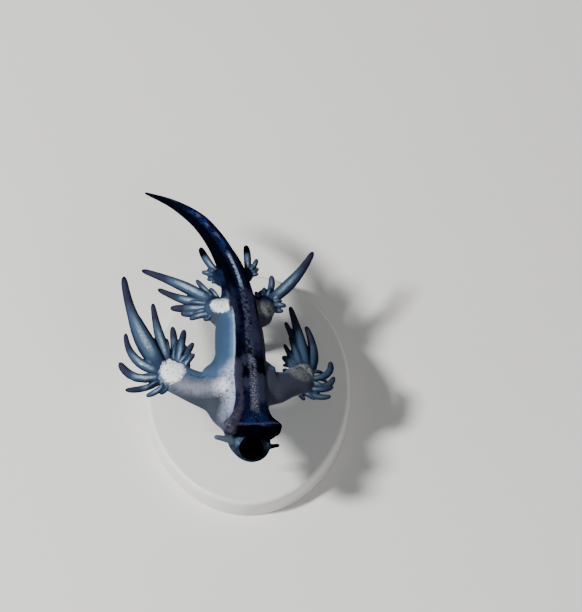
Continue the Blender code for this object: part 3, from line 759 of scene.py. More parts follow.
def buildSkin():
    buildTrunk()
    buildSole()
    buildMouth()
    buildFeelers()
    for name in armShapes:
        buildArm(name)
    buildCerata()
    print("forms of the animal made:", len(sources))
    skin = joinPieces([source["piece"] for source in sources], "slugSkin")
    applyModifier(skin, "REMESH", mode="VOXEL", voxel_size=skinMaking["voxel"], adaptivity=0.0)
    print("skin joined:", len(skin.data.vertices), "vertices")

    kind = readSources(verticesOf(skin))["kind"]
    edges = edgesOf(skin)
    on = {name: (kind == number).astype(float) for name, number in kinds.items()}
    smoothPart(skin, np.full(len(kind), 1.0), skinMaking["fingerSmoothing"])
    isBroad = on["arm"] + on["trunk"] + on["sole"]
    smoothPart(skin, spread(isBroad, edges, 2), skinMaking["trunkSmoothing"])
    width = skinMaking["blendWidth"]
    seam = skinMaking["blendStrength"] * spread(on["arm"], edges, width) * spread(on["trunk"], edges, width)
    seam *= 1 - np.clip(spread(on["ceras"], edges, 4), 0, 1)
    smoothPart(skin, np.clip(seam, 0, 1), skinMaking["blendSmoothing"])

    triangles = len(skin.data.polygons) * 2
    applyModifier(skin, "DECIMATE", ratio=min(1.0, skinMaking["triangles"] / triangles))
    print("skin finished:", len(skin.data.polygons), "faces")
    return skin


# How far each place is from the nearest of the others, seen from above.
def flatDistance(places, others):
    tree = KDTree(len(others))
    for number, (x, y, _) in enumerate(others):
        tree.insert((x, y, 0), number)
    tree.balance()
    return np.array([tree.find((x, y, 0))[2] for x, y, _ in places])


# Half width of the sole at each distance.
def soleHalfWidths(distance):
    perMillimetre = 10
    count = int(bodyShape["length"] + 1) * perMillimetre
    table = np.array([easedValues(soleShape["stations"], k / perMillimetre)[0] for k in range(count)])
    return table[np.clip((distance * perMillimetre).astype(int), 0, count - 1)]


# How white each place is made by the pale disc of a palm.
def palmShares(places):
    palm = np.zeros(len(places))
    for sizes in armShapes.values():
        if "disc" in sizes:
            x, y, halfLength, halfWidth = sizes["disc"]
            reach = np.hypot((places[:, 0] - x) / halfLength, (places[:, 1] - y) / halfWidth)
            palm = np.maximum(palm, 1 - smoothStep(reach, *skinMaking["discEdge"]))
    return palm


# Values that the skin's colours follow, one for each vertex.
def markSkin(skin):
    places = verticesOf(skin)
    edges = edgesOf(skin)
    values = readSources(places)
    on = {name: values["kind"] == number for name, number in kinds.items()}
    marks = {}
    for name, rounds in skinMaking["spreads"].items():
        marks[name] = spread(on[name].astype(float), edges, rounds)

    distance, sideways, height, sizes = bodyCoordinates(places)
    halfBody = np.where(sideways > 0, sizes[:, 1], sizes[:, 0])
    halfHeight = np.where(height > 0, sizes[:, 2], sizes[:, 3])
    tailed = smoothStep(distance, *skinMaking["tailBlend"])
    marks["bodyAlong"] = distance
    marks["soleAcross"] = sideways / (soleHalfWidths(distance) * (1 - tailed) + halfBody * tailed)
    marks["flankAcross"] = sideways / halfBody
    marks["upward"] = height / halfHeight

    marks["cerasAlong"] = spread(np.where(on["ceras"], values["along"], 0), edges, 2)
    marks["cerasFacing"] = spread(np.where(on["ceras"], values["across"], 0), edges, 3)
    marks["cerasSize"] = np.where(on["ceras"], values["size"], 0)
    marks["armAlong"] = spread(np.where(on["arm"], values["along"], 0), edges, 8)
    marks["armRear"] = spread(np.where(on["arm"], values["across"], 0), edges, 8)
    # Painted shade: 0 on the lit left side, 1 on the shaded right side, from each arm's tone and, on the
    # cerata, partly from chance.
    onRight = (sideways > 0).astype(float)
    marks["shadeAndTone"] = spread(np.where(on["arm"] | on["ceras"], values["tone"], onRight), edges, 4)

    armOrTrunk = on["arm"] | on["trunk"]
    cerasRoot = on["ceras"] & (values["along"] < skinMaking["cerasRootShare"])
    marks["palm"] = spread(palmShares(places) * (armOrTrunk | cerasRoot), edges, 1)
    normals = np.empty(len(places) * 3, dtype=np.float32)
    skin.data.vertex_normals.foreach_get("vector", normals)
    skyward = normals.reshape(-1, 3)[:, 2]
    marks["underside"] = spread(smoothStep(-skyward, *skinMaking["undersideSlope"]), edges, 3)
    outline = (np.abs(skyward) < skinMaking["outlineSlope"]) & armOrTrunk
    marks["edgeDepth"] = spread(flatDistance(places, places[outline]), edges, 3)
    for name, column in marks.items():
        attribute = skin.data.attributes.new(name, "FLOAT", "POINT")
        attribute.data.foreach_set("value", column.astype(np.float32))


# A socket of the material being made. Numbers and other wires combine with it as in plain maths.
class Wire:
    tree = None

    def __init__(self, socket):
        self.socket = socket

    def __add__(self, other):
        return mathNode("ADD", self, other)

    def __radd__(self, other):
        return mathNode("ADD", other, self)

    def __sub__(self, other):
        return mathNode("SUBTRACT", self, other)

    def __rsub__(self, other):
        return mathNode("SUBTRACT", other, self)

    def __mul__(self, other):
        return mathNode("MULTIPLY", self, other)

    def __rmul__(self, other):
        return mathNode("MULTIPLY", other, self)


def makeNode(kind, settings=None, values=None, output=0):
    node = Wire.tree.nodes.new(kind)
    for name, value in (settings or {}).items():
        setattr(node, name, value)
    for name, value in (values or {}).items():
        if isinstance(value, Wire):
            Wire.tree.links.new(value.socket, node.inputs[name])
        else:
            node.inputs[name].default_value = value
    return Wire(node.outputs[output])


def mathNode(operation, first, second=0.0):
    return makeNode("ShaderNodeMath", {"operation": operation}, {0: first, 1: second})


def clipped(value):
    return makeNode("ShaderNodeMath", {"operation": "ADD", "use_clamp": True}, {0: value, 1: 0.0})


# 0 below low, 1 above high, smooth between. Turned round where low is the higher.
def ramp(value, low, high):
    return makeNode("ShaderNodeMapRange", {"interpolation_type": "SMOOTHSTEP"},
                    {"Value": value, "From Min": low, "From Max": high})


def band(value, middle, halfWidth, soft):
    away = mathNode("ABSOLUTE", value - middle)
    return ramp(away, halfWidth + soft, max(halfWidth - soft, 0.0))


def mark(name):
    return makeNode("ShaderNodeAttribute", {"attribute_name": name}, output=2)


def tint(red, green, blue):
    linear = []
    for value in (red, green, blue):
        value /= 255
        linear.append(value / 12.92 if value <= 0.04045 else ((value + 0.055) / 1.055) ** 2.4)
    return (*linear, 1.0)


def mixColours(mask, first, second):
    return makeNode("ShaderNodeMix", {"data_type": "RGBA"}, {0: mask, 6: first, 7: second}, output=2)


def millimetres():
    place = makeNode("ShaderNodeTexCoord", output=3)
    return makeNode("ShaderNodeVectorMath", {"operation": "SCALE"}, {0: place, "Scale": 1 / mm})


def cloud(place, scale, detail=3.0, roughness=0.55, distortion=0.0):
    return makeNode("ShaderNodeTexNoise", None, {
        "Vector": place, "Scale": scale, "Detail": detail, "Roughness": roughness, "Distortion": distortion})


# Thin lines between cells, bent out of their straight run.
def crackle(place, scale):
    noiseValues = {"Vector": place, "Scale": scale * 1.6, "Detail": 2.0}
    bend = makeNode("ShaderNodeTexNoise", None, noiseValues, output=1)
    bentValues = {0: bend, 1: (0.9, 0.9, 0.9), 2: place}
    bent = makeNode("ShaderNodeVectorMath", {"operation": "MULTIPLY_ADD"}, bentValues)
    return makeNode("ShaderNodeTexVoronoi", {"feature": "DISTANCE_TO_EDGE"}, {"Vector": bent, "Scale": scale})


def newMaterial(name):
    material = bpy.data.materials.new(name)
    material.use_nodes = True
    Wire.tree = material.node_tree
    return material, material.node_tree.nodes["Principled BSDF"]


def setInputs(shader, **values):
    for name, value in values.items():
        socket = shader.inputs[name.replace("_", " ")]
        if isinstance(value, Wire):
            Wire.tree.links.new(value.socket, socket)
        else:
            socket.default_value = value


# Colours as screen values of red, green and blue.
skinColours = {
    "navy": tint(12, 16, 42),
    "black": tint(3, 4, 10),
    "mouthBlack": tint(1, 1, 2),
    "mauve": tint(44, 44, 60),
    "pinkGrey": tint(60, 56, 68),
    "lobeGrey": tint(66, 62, 76),
    "slateBlue": tint(46, 51, 70),
    "blueViolet": tint(34, 36, 66),
    "deepBlue": tint(16, 34, 76),
    "stripe": tint(116, 121, 138),
    "stripeSoft": tint(68, 74, 92),
    "tailStripe": tint(138, 158, 182),
    "tailBlue": tint(28, 50, 98),
    # crest: the lip's pale dots, and the painted highlight along its crest.
    "crest": tint(62, 70, 98),
    "flankBlue": tint(46, 62, 82),
    "flankPale": tint(52, 75, 104),
    "flankWhite": tint(162, 172, 194),
    "flankEdge": tint(104, 126, 154),
    "armCrest": tint(120, 124, 138),
    "armGrey": tint(54, 60, 68),
    "armBlue": tint(66, 86, 112),
    # armShadeAndSpeck: painted shade along the arms' outline, and dark mottling and specks.
    "armShadeAndSpeck": tint(50, 56, 66),
    # armDull and armDullBlue: the right arms, darker as painted shade.
    "armDull": tint(50, 52, 64),
    "armDullBlue": tint(66, 86, 114),
    # palmWhite: silver skin with a painted reflection of the light; palmDull: painted shade of the right
    # palms.
    "palmWhite": tint(228, 230, 236),
    "palmDull": tint(98, 103, 102),
    # On the cerata navy also paints the shade of their sides and roots; the streak is a painted highlight and
    # the tip shade painted shade.
    "cerasNavy": tint(20, 30, 52),
    "cerasPale": tint(58, 76, 96),
    "cerasSteel": tint(50, 65, 83),
    "cerasStreakHighlight": tint(168, 184, 202),
    "cerasTip": tint(40, 42, 60),
    "cerasTipShade": tint(30, 32, 48),
    "headBlue": tint(22, 29, 38),
    "headSteel": tint(34, 46, 60),
    # headHighlight: painted highlight on the cheeks.
    "headHighlight": tint(76, 98, 120),
    "tentaclePale": tint(70, 80, 94),
    "backSilver": tint(136, 146, 160),
    "backGrey": tint(104, 116, 134),
}

# Markings on the sole: distance along, place across, half length, half width, colour
soleMarks = (
    (8.4, -0.36, 0.8, 0.20, "slateBlue"), (6.1, -0.36, 1.1, 0.17, "navy"), (5.6, 0.6, 0.8, 0.30, "navy"),
    (10.7, 0.74, 0.75, 0.40, "black"), (12.0, 0.48, 0.33, 0.42, "black"), (12.8, -0.86, 1.6, 0.24, "black"),
    (9.9, -0.32, 0.4, 0.26, "black"), (10.5, 0.05, 0.75, 0.08, "black"), (15.0, 0.20, 0.35, 0.13, "black"),
    (14.8, 0.35, 0.8, 0.55, "slateBlue"), (12.7, -0.10, 0.30, 0.16, "black"),
    (11.5, -0.42, 0.6, 0.18, "slateBlue"), (14.2, -0.45, 0.5, 0.14, "navy"),
    (17.6, -0.42, 1.2, 0.12, "black"), (16.4, 0.16, 0.5, 0.10, "navy"), (18.6, 0.86, 1.4, 0.14, "black"),
    (27.6, 0.62, 0.9, 0.22, "blueViolet"), (29.0, 0.05, 0.5, 0.16, "stripeSoft"),
    (30.6, -0.08, 0.4, 0.14, "stripeSoft"), (32.4, 0.12, 0.35, 0.14, "stripeSoft"),
    (35.6, 0.45, 0.9, 0.35, "mauve"),
)

# Place, and radii from none to full, of the wet glint on the lip's left corner.
lipGlint = {"place": (-2.05, -12.05, 12.72), "none": 0.34, "full": 0.12}


def between(value, low, high, soft):
    return ramp(value, low - soft, low + soft) * ramp(value, high + soft, high - soft)


# What every part of the skin's colour starts from: place, patterns and marks.
class SkinPatterns:
    def __init__(self):
        self.place = millimetres()
        self.soft = cloud(self.place, 0.55, 4.0)
        self.patch = cloud(self.place, 1.4, 3.0)
        self.fine = cloud(self.place, 3.4, 4.0)
        self.speck = cloud(self.place, 7.5, 2.0)
        self.along, self.across, self.flank = mark("bodyAlong"), mark("soleAcross"), mark("flankAcross")
        self.upward, self.tone, self.below = mark("upward"), mark("shadeAndTone"), mark("underside")
        self.wavy = self.along + (self.patch - 0.5) * 1.6
        self.ragged = (self.fine - 0.5) * 0.34 + (self.patch - 0.5) * 0.16
        self.side = self.across + self.ragged
        speckled = ramp(self.speck, 0.45, 0.6)
        self.back = mixColours(speckled, skinColours["backSilver"], skinColours["backGrey"])

    # The four clouds, broadest first.
    def clouds(self):
        return self.soft, self.patch, self.fine, self.speck


# The left side's colours, partly painted light from the left: white beside the foot, grey on the front arm,
# painted shade in blue along the outline.
def leftColour(patterns):
    c = skinColours
    soft, patch, fine, speck = patterns.clouds()
    along, across = patterns.along, patterns.across
    rear, outward, depth = mark("armRear"), mark("armAlong"), mark("edgeDepth")
    cracks = crackle(patterns.place, 1.5)
    front = ramp(along, 12.0, 10.2)
    footGap = -1.0 - across + (soft - 0.5) * 0.4 + (fine - 0.5) * 0.12
    white = ramp(footGap, 0.50 + 0.32 * front, 0.02 + 0.06 * front) * (0.45 + 0.55 * ramp(along, 4.6, 8.0))
    crestLine = band(along + (patch - 0.5) * 0.8, 8.50, 0.4, 1.0)
    blue = mixColours(ramp(footGap, 1.0, 0.4), c["flankBlue"], c["flankPale"])
    grey = mixColours(ramp(along, 8.8, 9.8), c["armGrey"], c["armBlue"])
    grey = mixColours(crestLine, grey, mixColours(ramp(footGap, 1.3, 0.4), c["armCrest"], c["palmWhite"]))
    plain = mixColours(front, blue, grey)
    left = mixColours(white, plain, mixColours(front, c["flankEdge"], c["flankWhite"]))
    # Painted shade along the outline, where flank and arm turn from the light: blue, grey at the arm's front.
    blueEdge = mixColours(front, c["flankBlue"], c["armBlue"])
    shadeEdge = mixColours(ramp(rear, 0.0, -0.5), blueEdge, c["armShadeAndSpeck"])
    outlineShadeMask = ramp(depth + (patch - 0.5) * 0.4, 1.0, 0.1)
    left = mixColours(outlineShadeMask * 0.85, left, shadeEdge)
    left = mixColours(ramp(fine, 0.52, 0.66) * front * 0.28, left, c["armShadeAndSpeck"])
    dots = ramp(speck, 0.61, 0.66) * (0.25 + 0.75 * ramp(footGap, 1.2, 0.6)) * front
    left = mixColours(dots * 0.8, left, c["cerasNavy"])
    curls = ramp(cracks, 0.075, 0.035) * ramp(patch, 0.46, 0.52) * between(along, 6.5, 10.0, 0.8)
    left = mixColours(curls * 0.85 * ramp(footGap, 1.0, 0.6), left, c["cerasNavy"])
    seam = band(rear + (fine - 0.5) * 0.35, 0.36, 0.02, 0.02) * between(outward, 0.42, 0.74, 0.05)
    left = mixColours(seam * ramp(patch, 0.42, 0.5), left, c["cerasNavy"])
    beads = 0.35 + ramp(fine, 0.42, 0.56) * 0.5
    rim = between(across, -1.13, -1.06, 0.02) * between(along, 11.0, 18.6, 0.6)
    rim = rim + between(across, -1.46, -1.36, 0.03) * between(along, 18.6, 21.0, 0.6)
    left = mixColours(rim * beads, left, c["flankWhite"])
    return left


# The right side's colours, dull as painted shade of the skin that is pale on the lit left.
def rightColour(patterns):
    c = skinColours
    _, patch, fine, speck = patterns.clouds()
    rear = mark("armRear")
    right = mixColours(ramp(rear + (patch - 0.5) * 0.5, 0.45, 0.7), c["armDull"], c["armDullBlue"])
    right = mixColours(ramp(fine, 0.5, 0.7) * 0.5, right, c["pinkGrey"])
    right = mixColours(ramp(speck, 0.60, 0.67) * 0.6, right, c["cerasNavy"])
    rightFlank = mixColours(fine, c["mauve"], c["pinkGrey"])
    right = mixColours(clipped(mark("arm")), rightFlank, right)
    return right


def headColour(patterns):
    c = skinColours
    soft, patch, fine, speck = patterns.clouds()
    along, flank, upward = patterns.along, patterns.flank, patterns.upward
    head = mixColours(ramp(patch + (fine - 0.5) * 0.4, 0.42, 0.62), c["headBlue"], c["headSteel"])
    # Painted highlights on the cheeks in a paler silver-blue, the left one brighter.
    cheekHighlightLeft = band(flank, -0.66, 0.10, 0.14) * between(along, 1.2, 2.1, 0.35)
    cheekHighlightRight = band(flank, 0.70, 0.05, 0.10) * between(along, 1.4, 2.1, 0.25)
    cheekHighlight = clipped(cheekHighlightLeft + cheekHighlightRight * 0.7) * (0.35 + 0.65 * ramp(fine, 0.42, 0.56))
    head = mixColours(cheekHighlight, head, c["headHighlight"])
    head = mixColours(ramp(along + (soft - 0.5) * 0.8, 0.9, 0.2) * 0.6, head, c["headBlue"])
    head = mixColours(ramp(flank, 0.0, 0.5) * ramp(along, 1.6, 0.8) * 0.9, head, c["black"])
    head = mixColours(ramp(speck, 0.54, 0.64) * 0.45, head, c["navy"])
    # Painted shadow under the lip: the head's upper part black next to it.
    head = mixColours(ramp(along, 1.9, 2.3) * ramp(upward, 0.0, 0.3), head, c["black"])
    head = mixColours(ramp(upward, -0.2, -0.6), head, patterns.back)
    return head


# The colour of the cerata, with painted shade on their sides, tips and roots and a painted highlight streak
# along their top, and where that wet streak lies.
def cerasColour(patterns):
    c = skinColours
    soft, _, fine, speck = patterns.clouds()
    tone = patterns.tone
    length, facing = mark("cerasAlong"), mark("cerasFacing")
    rough = facing + (fine - 0.5) * 0.12
    size = mark("cerasSize")
    isLong = ramp(size, 3.8, 5.2)
    # Paler on the lit left arms, darker steel on the right as painted shade.
    steel = mixColours(clipped(tone), c["cerasPale"], c["cerasSteel"])
    # Navy on the sides turned from the light, as painted shade.
    ceras = mixColours(ramp(rough, 0.30, 0.92), c["cerasNavy"], steel)
    # A painted highlight streak along the top, weaker on the shaded right side.
    streakHighlight = ramp(rough, 0.86, 1.0) * between(length + (fine - 0.5) * 0.15, 0.18, 0.74 - 0.24 * isLong, 0.12)
    streakHighlight = streakHighlight * (0.65 + 0.35 * ramp(speck, 0.40, 0.55))
    ceras = mixColours(streakHighlight * (0.85 - tone * 0.55), ceras, c["cerasStreakHighlight"])
    # Painted shade on the sides of the tips.
    tipColour = mixColours(ramp(facing, 0.4, 0.9), c["cerasTipShade"], c["cerasTip"])
    tipColour = mixColours(ramp(size, 15.0, 18.0), tipColour, c["black"])
    tipMask = ramp(length + (soft - 0.5) * 0.3, 0.54, 0.70) * (0.25 + 0.75 * isLong)
    ceras = mixColours(tipMask, ceras, tipColour)
    ceras = mixColours(ramp(length, 0.90, 0.99), ceras, c["navy"])
    # Painted shade at the roots, where the cerata crowd.
    ceras = mixColours(ramp(length, 0.18, 0.04) * 0.7, ceras, c["cerasNavy"])
    ceras = mixColours(ramp(facing, -0.3, -0.8), ceras, patterns.back)
    return ceras, streakHighlight


# The colour of the palms, and where it lies: silver-white on the left with a painted reflection, dull on the
# right as painted shade.
def palmColour(patterns):
    c = skinColours
    _, _, fine, speck = patterns.clouds()
    toRight = ramp(makeNode("ShaderNodeSeparateXYZ", None, {0: patterns.place}), -0.5, 0.5)
    palmRight = mixColours(ramp(fine, 0.4, 0.7), c["palmDull"], c["armDull"])
    palm = mixColours(toRight, c["palmWhite"], palmRight)
    palmEdge = mark("palm") + (fine - 0.5) * 1.2 + (speck - 0.5) * 0.7
    palmMask = ramp(palmEdge, 0.25 - 0.15 * toRight, 0.70 + 0.25 * toRight) * (1 - patterns.below)
    palm = mixColours(ramp(speck, 0.58, 0.63) * 0.85, palm, c["armShadeAndSpeck"])
    return palm, palmMask * ramp(patterns.along, 20.5, 19.0)


def soleColour(patterns):
    c = skinColours
    _, patch, fine, speck = patterns.clouds()
    along, wavy, side, ragged = patterns.along, patterns.wavy, patterns.side, patterns.ragged
    dark = mixColours(ramp(patch, 0.4, 0.65), c["navy"], c["black"])
    dark = mixColours(ramp(side, 0.22, 0.4) * between(wavy, 6.2, 9.8, 0.6), dark, c["slateBlue"])
    violet = mixColours(ramp(patch + ragged, 0.42, 0.6), c["blueViolet"], c["mauve"])
    dark = mixColours(ramp(side, 0.10, 0.28) * between(wavy, 12.8, 21.0, 0.8), dark, violet)
    brownish = mixColours(ramp(patch, 0.45, 0.7) * 0.5, c["mauve"], c["pinkGrey"])
    dark = mixColours(ramp(side, -0.48, -0.70) * ramp(wavy, 12.2, 10.8), dark, brownish)
    dark = mixColours(ramp(side, 0.86, 0.98) * ramp(wavy, 12.2, 10.8), dark, c["mauve"])
    dark = mixColours(ramp(side, -0.66, -0.8) * between(wavy, 15.5, 20.5, 0.8) * 0.25, dark, c["mauve"])
    line = side - 0.06 + ramp(along, 9.0, 14.0) * 0.12
    salt = mixColours(ramp(speck, 0.40, 0.62), c["mauve"], c["stripe"])
    dark = mixColours(band(line, 0.04, 0.20, 0.18) * between(wavy, 4.9, 12.4, 0.5), dark, salt)
    cloudy = mixColours(ramp(fine + (speck - 0.5) * 0.5, 0.38, 0.6), c["navy"], c["stripeSoft"])
    dark = mixColours(band(line, 0.0, 0.26, 0.14) * between(along, 12.4, 21.5, 0.8), dark, cloudy)
    tail = mixColours(ramp(mathNode("ABSOLUTE", side), 0.42, 0.56), c["navy"], c["black"])
    bead = mixColours(ramp(fine, 0.36, 0.5), c["stripeSoft"], c["tailStripe"])
    tail = mixColours(band(line, 0.02, 0.14, 0.08) * between(wavy, 20.0, 26.2, 0.6), tail, bead)
    bluish = mixColours(ramp(fine + (patch - 0.5), 0.44, 0.62), c["navy"], c["tailBlue"])
    tail = mixColours(band(side, 0.0, 0.30, 0.16) * between(wavy, 26.0, 33.5, 0.8), tail, bluish)
    tail = mixColours(ramp(along, 33.0, 35.5) * 0.8, tail, c["black"])
    dark = mixColours(ramp(along, 20.5, 22.5), dark, tail)
    for markAlong, markAcross, halfLength, halfWidth, colour in soleMarks:
        lengthwise = (wavy - markAlong) * (1 / halfLength)
        crosswise = (side - markAcross) * (1 / halfWidth)
        distance = lengthwise * lengthwise + crosswise * crosswise + (speck - 0.5) * 1.6
        dark = mixColours(ramp(distance, 1.7, 0.3) * 0.85, dark, c[colour])
    return dark


# The sole's colour with the lip's laid over it, and where the lip's pale left corner is.
def lipColour(patterns, dark):
    c = skinColours
    _, patch, fine, _ = patterns.clouds()
    along, across, wavy, side = patterns.along, patterns.across, patterns.wavy, patterns.side
    lines = makeNode("ShaderNodeMapping", None, {"Vector": patterns.place, "Scale": (5.0, 2.0, 2.0)})
    grain = cloud(lines, 1.6, 2.0)
    streaks = mixColours(ramp(grain + (patch - 0.5) * 0.6, 0.35, 0.65), c["navy"], c["deepBlue"])
    streaks = mixColours(ramp(grain, 0.58, 0.66) * band(across, 0.15, 0.3, 0.15) * 0.7, streaks, c["crest"])
    dark = mixColours(band(across, 0.05, 0.45, 0.18) * ramp(wavy, 5.6, 4.6), dark, streaks)
    dark = mixColours(ramp(across, 0.62, 0.8) * ramp(along, 5.6, 4.6), dark, c["black"])
    # The lip's front face black: the sole's dark colour with painted shadow over it.
    dark = mixColours(ramp(along, 3.62, 3.48), dark, c["black"])
    # A painted highlight along the lip's crest.
    rise = along - 0.22 * ramp(across, -0.1, 0.8) + (fine - 0.5) * 0.12
    crest = band(rise, 3.70, 0.04, 0.12) * between(across, -0.62, 0.86, 0.08)
    dark = mixColours(crest * (0.35 + 0.45 * ramp(fine, 0.35, 0.6)), dark, c["crest"])
    dark = mixColours(ramp(side, -0.80, -0.94) * between(along, 4.9, 7.4, 0.4) * 0.8, dark, c["navy"])
    lobe = ramp(across + (fine - 0.5) * 0.2, -0.50, -0.78) * ramp(wavy, 5.6, 4.4) * ramp(along, 2.3, 2.6)
    dark = mixColours(lobe, dark, mixColours(ramp(patch, 0.4, 0.6), c["lobeGrey"], c["mauve"]))
    return dark, lobe


def skinMaterial():
    material, shader = newMaterial("slugSkin")
    c = skinColours
    patterns = SkinPatterns()
    _, patch, fine, speck = patterns.clouds()
    along, across, flank = patterns.along, patterns.across, patterns.flank
    upward, below = patterns.upward, patterns.below
    # The lit left side's colours and the right side's painted shade, by the shade tone.
    skin = mixColours(clipped(patterns.tone), leftColour(patterns), rightColour(patterns))
    rearDark = clipped(mark("arm") * ramp(along, 19.0, 20.5) + ramp(along, 20.6, 22.2))
    skin = mixColours(rearDark, skin, mixColours(ramp(patch, 0.4, 0.6), c["navy"], c["cerasNavy"]))
    skin = mixColours(clipped(below + (1 - mark("arm")) * ramp(upward, -0.1, -0.5)), skin, patterns.back)
    skin = mixColours(ramp(along, 4.6, 3.6) * ramp(across, -1.35, -1.15), skin, headColour(patterns))
    ceras, streakHighlight = cerasColour(patterns)
    skin = mixColours(clipped(mark("ceras")), skin, ceras)
    palm, palmMask = palmColour(patterns)
    skin = mixColours(palmMask, skin, palm)
    dark, lobe = lipColour(patterns, soleColour(patterns))
    tailMask = ramp(along, 23.4, 24.8) * ramp(upward, -0.55, -0.25)
    overEdge = ramp(across, -1.34, -1.22) * ramp(across, -0.6, -0.8) * between(along, 18.0, 22.5, 0.8)
    soleMask = mark("sole") + (tailMask + overEdge) * (1 - mark("arm")) * (1 - mark("ceras"))
    skin = mixColours(clipped(soleMask), skin, dark)

    skin = mixColours(mark("mouth"), skin, c["mouthBlack"])
    feelerColour = mixColours(ramp(flank, -0.3, 0.3), c["tentaclePale"], c["black"])
    skin = mixColours(mark("feeler"), skin, mixColours(below, feelerColour, c["slateBlue"]))

    height = fine * 0.7 + speck * 0.3
    bump = makeNode("ShaderNodeBump", None, {"Strength": 0.5, "Distance": 0.00006, "Height": height})
    glintValues = {0: patterns.place, 1: lipGlint["place"]}
    away = makeNode("ShaderNodeVectorMath", {"operation": "DISTANCE"}, glintValues, output=1)
    glint = ramp(away, lipGlint["none"], lipGlint["full"])
    wet = 0.30 * streakHighlight * mark("ceras") + lobe * mark("sole") * (0.06 + 0.94 * glint)
    setInputs(shader, Base_Color=skin, Roughness=0.46 + 0.12 * fine + 0.3 * mark("mouth"), Normal=bump,
              Coat_Weight=clipped(wet - mark("mouth")), Coat_Roughness=0.06, Specular_IOR_Level=0.0)
    return material


def finishPiece(piece, nodes, material):
    piece.data.transform(Matrix.Scale(mm, 4))
    piece.data.materials.clear()
    piece.data.materials.append(material)
    makeActive(piece)
    bpy.ops.object.shade_smooth()
    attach(piece, "root")
    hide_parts(*nodes)


fleshNodes = [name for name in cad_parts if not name.startswith("stand_")]
slugSkin = buildSkin()
markSkin(slugSkin)
finishPiece(slugSkin, fleshNodes, skinMaterial())
print("skin coloured")

standShape = {
    "halfWidth": 11.0, "halfLength": 15.0, "thickness": 2.4, "sides": 160,
    "topBevel": 0.5, "bottomBevel": 0.12,
    "rods": {"stand_rod_front": (-0.45, -5.2), "stand_rod_rear": (-1.00, 4.6)},
    "rodRadius": 0.7, "rodSides": 40, "rodTop": 9.6, "rodMiddle": 5.0,
    "ferruleRadius": 1.25, "ferruleHeight": 0.35, "sunk": 0.1, "fillet": 0.06,
    # the ferrule's rounded edge: from its side and from its top
    "ferruleEdge": ((0.0, -0.12), (-0.04, -0.04), (-0.14, 0.0)),
}


def standMaterial():
    material, shader = newMaterial("palePlinth")
    place = millimetres()
    mottled = cloud(place, 0.25, 3.0)
    colour = mixColours(mottled, tint(206, 205, 200), tint(216, 215, 211))
    grain = cloud(place, 12.0, 2.0)
    bump = makeNode("ShaderNodeBump", None, {"Strength": 0.1, "Distance": 0.00003, "Height": grain})
    setInputs(shader, Base_Color=colour, Roughness=0.42 + 0.1 * mottled, Normal=bump)
    return material


def rodMaterial():
    material, shader = newMaterial("brushedRod")
    place = millimetres()
    stretched = makeNode("ShaderNodeMapping", None, {"Vector": place, "Scale": (1.0, 1.0, 9.0)})
    lines = cloud(stretched, 2.5, 3.0)
    colour = mixColours(lines, tint(176, 178, 180), tint(206, 207, 208))
    bump = makeNode("ShaderNodeBump", None, {"Strength": 0.15, "Distance": 0.00002, "Height": lines})
    setInputs(shader, Base_Color=colour, Roughness=0.2 + 0.15 * lines, Metallic=1.0, Normal=bump)
    return material


def buildBase():
    deselectAll()
    thickness = standShape["thickness"]
    bpy.ops.mesh.primitive_cylinder_add(vertices=standShape["sides"], radius=1.0, depth=thickness,
                                        location=(0, 0, thickness / 2))
    base = bpy.context.object
    base.name = "standBase"
    base.scale = (standShape["halfWidth"], standShape["halfLength"], 1.0)
    bpy.ops.object.transform_apply(location=True, rotation=True, scale=True)
    mesh = bmesh.new()
    mesh.from_mesh(base.data)
    rim = [edge for edge in mesh.edges if abs(edge.verts[0].co.z - edge.verts[1].co.z) < 0.01]
    top = [edge for edge in rim if edge.verts[0].co.z > thickness * 0.9]
    bottom = [edge for edge in rim if edge.verts[0].co.z < thickness * 0.1]
    for rimEdges, bevel, segments in ((top, "topBevel", 8), (bottom, "bottomBevel", 3)):
        whole = [edge for edge in rimEdges if edge.is_valid]
        bmesh.ops.bevel(mesh, geom=whole, offset=standShape[bevel], segments=segments, profile=0.5,
                        affect="EDGES")
    mesh.to_mesh(base.data)
    mesh.free()
    return base


def buildRod(name):
    x, y = standShape["rods"][name]
    low = standShape["thickness"]
    radius, fillet = standShape["rodRadius"], standShape["fillet"]
    side, foot = standShape["ferruleRadius"], low + standShape["ferruleHeight"]
    profile = [(side, low - standShape["sunk"])]
    profile += [(side + inward, foot + downward) for inward, downward in standShape["ferruleEdge"]]
    profile += [(radius + fillet, foot), (radius, foot + fillet)]
    profile += [(radius, standShape["rodMiddle"]), (radius, standShape["rodTop"])]
    rings = []
    for ringRadius, height in profile:
        sideways, tailward = Vector((ringRadius, 0, 0)), Vector((0, ringRadius, 0))
        rings.append(ovalPoints(Vector((x, y, height)), sideways, tailward, standShape["rodSides"]))
    return extrudeRings(name + "_finished", rings)


finishPiece(buildBase(), ["stand_base"], standMaterial())
rodSteel = rodMaterial()
for rodName in standShape["rods"]:
    finishPiece(buildRod(rodName), [rodName], rodSteel)
print("stand made")

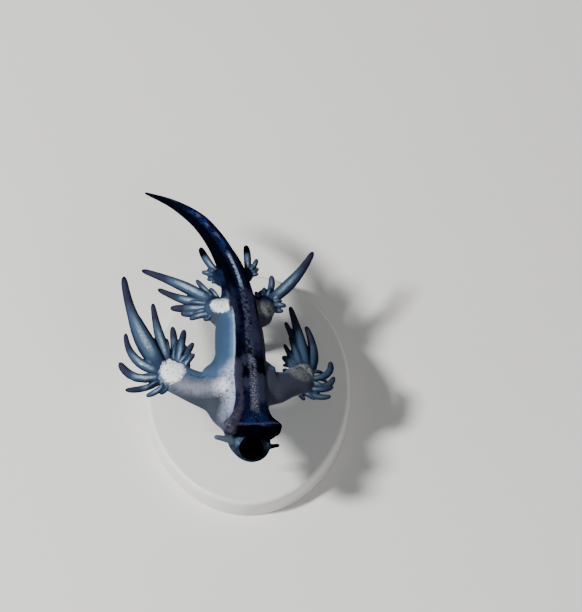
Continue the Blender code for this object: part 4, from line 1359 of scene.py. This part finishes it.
# Angles in degrees, lengths in metres, pixels of the photo.
studio = {
    "elevation": 55.0, "distance": 0.9, "pixel": 0.0001072, "imageHeight": 612,
    "originPixel": (248, 345), "centrePixel": (291, 306), "sensor": 36.0,
    "floorSize": 3.0, "worldStrength": 0.16, "worldColour": (0.93, 0.96, 1.0, 1.0),
    "lightsAim": (0, 0, 0.01),
    # name: place in metres, size, energy
    "lights": {
        "keyLight": ((-0.30, -0.06, 0.30), 0.07, 3.6),
        "fillLight": ((0.22, -0.42, 0.34), 0.30, 1.2),
    },
}


def floorMaterial():
    material, shader = newMaterial("paleFloor")
    place = millimetres()
    colour = mixColours(cloud(place, 0.02, 2.0), tint(214, 212, 208), tint(222, 221, 218))
    setInputs(shader, Base_Color=colour, Roughness=0.7)
    return material


def buildStudio():
    deselectAll()
    bpy.ops.mesh.primitive_plane_add(size=studio["floorSize"])
    floor = bpy.context.object
    floor.name = "paleFloor"
    floor.data.materials.append(floorMaterial())
    for name, (place, size, energy) in studio["lights"].items():
        lightData = bpy.data.lights.new(name, "AREA")
        lightData.shape = "DISK"
        lightData.size = size
        lightData.energy = energy
        light = bpy.data.objects.new(name, lightData)
        light.location = place
        towards = Vector(place) - Vector(studio["lightsAim"])
        light.rotation_euler = towards.to_track_quat("Z", "Y").to_euler()
        bpy.context.scene.collection.objects.link(light)
    world = bpy.data.worlds.new("studioWorld")
    world.use_nodes = True
    background = world.node_tree.nodes["Background"]
    background.inputs["Color"].default_value = studio["worldColour"]
    background.inputs["Strength"].default_value = studio["worldStrength"]
    bpy.context.scene.world = world


def buildCamera():
    elevation = math.radians(studio["elevation"])
    forward = Vector((0, math.cos(elevation), -math.sin(elevation)))
    right = Vector((1, 0, 0))
    up = right.cross(forward)
    sideways = (studio["centrePixel"][0] - studio["originPixel"][0]) * studio["pixel"]
    upwards = (studio["originPixel"][1] - studio["centrePixel"][1]) * studio["pixel"]
    centre = Vector((0, 0, floatHeight * mm)) + right * sideways + up * upwards
    cameraData = bpy.data.cameras.new("camera")
    cameraData.sensor_width = studio["sensor"]
    cameraData.lens = studio["sensor"] * studio["distance"] / (studio["imageHeight"] * studio["pixel"])
    cameraData.clip_start = 0.01
    camera = bpy.data.objects.new("camera", cameraData)
    camera.location = centre - forward * studio["distance"]
    camera.rotation_euler = (math.pi / 2 - elevation, 0, 0)
    bpy.context.scene.collection.objects.link(camera)
    bpy.context.scene.camera = camera


buildStudio()
buildCamera()
print("studio made")
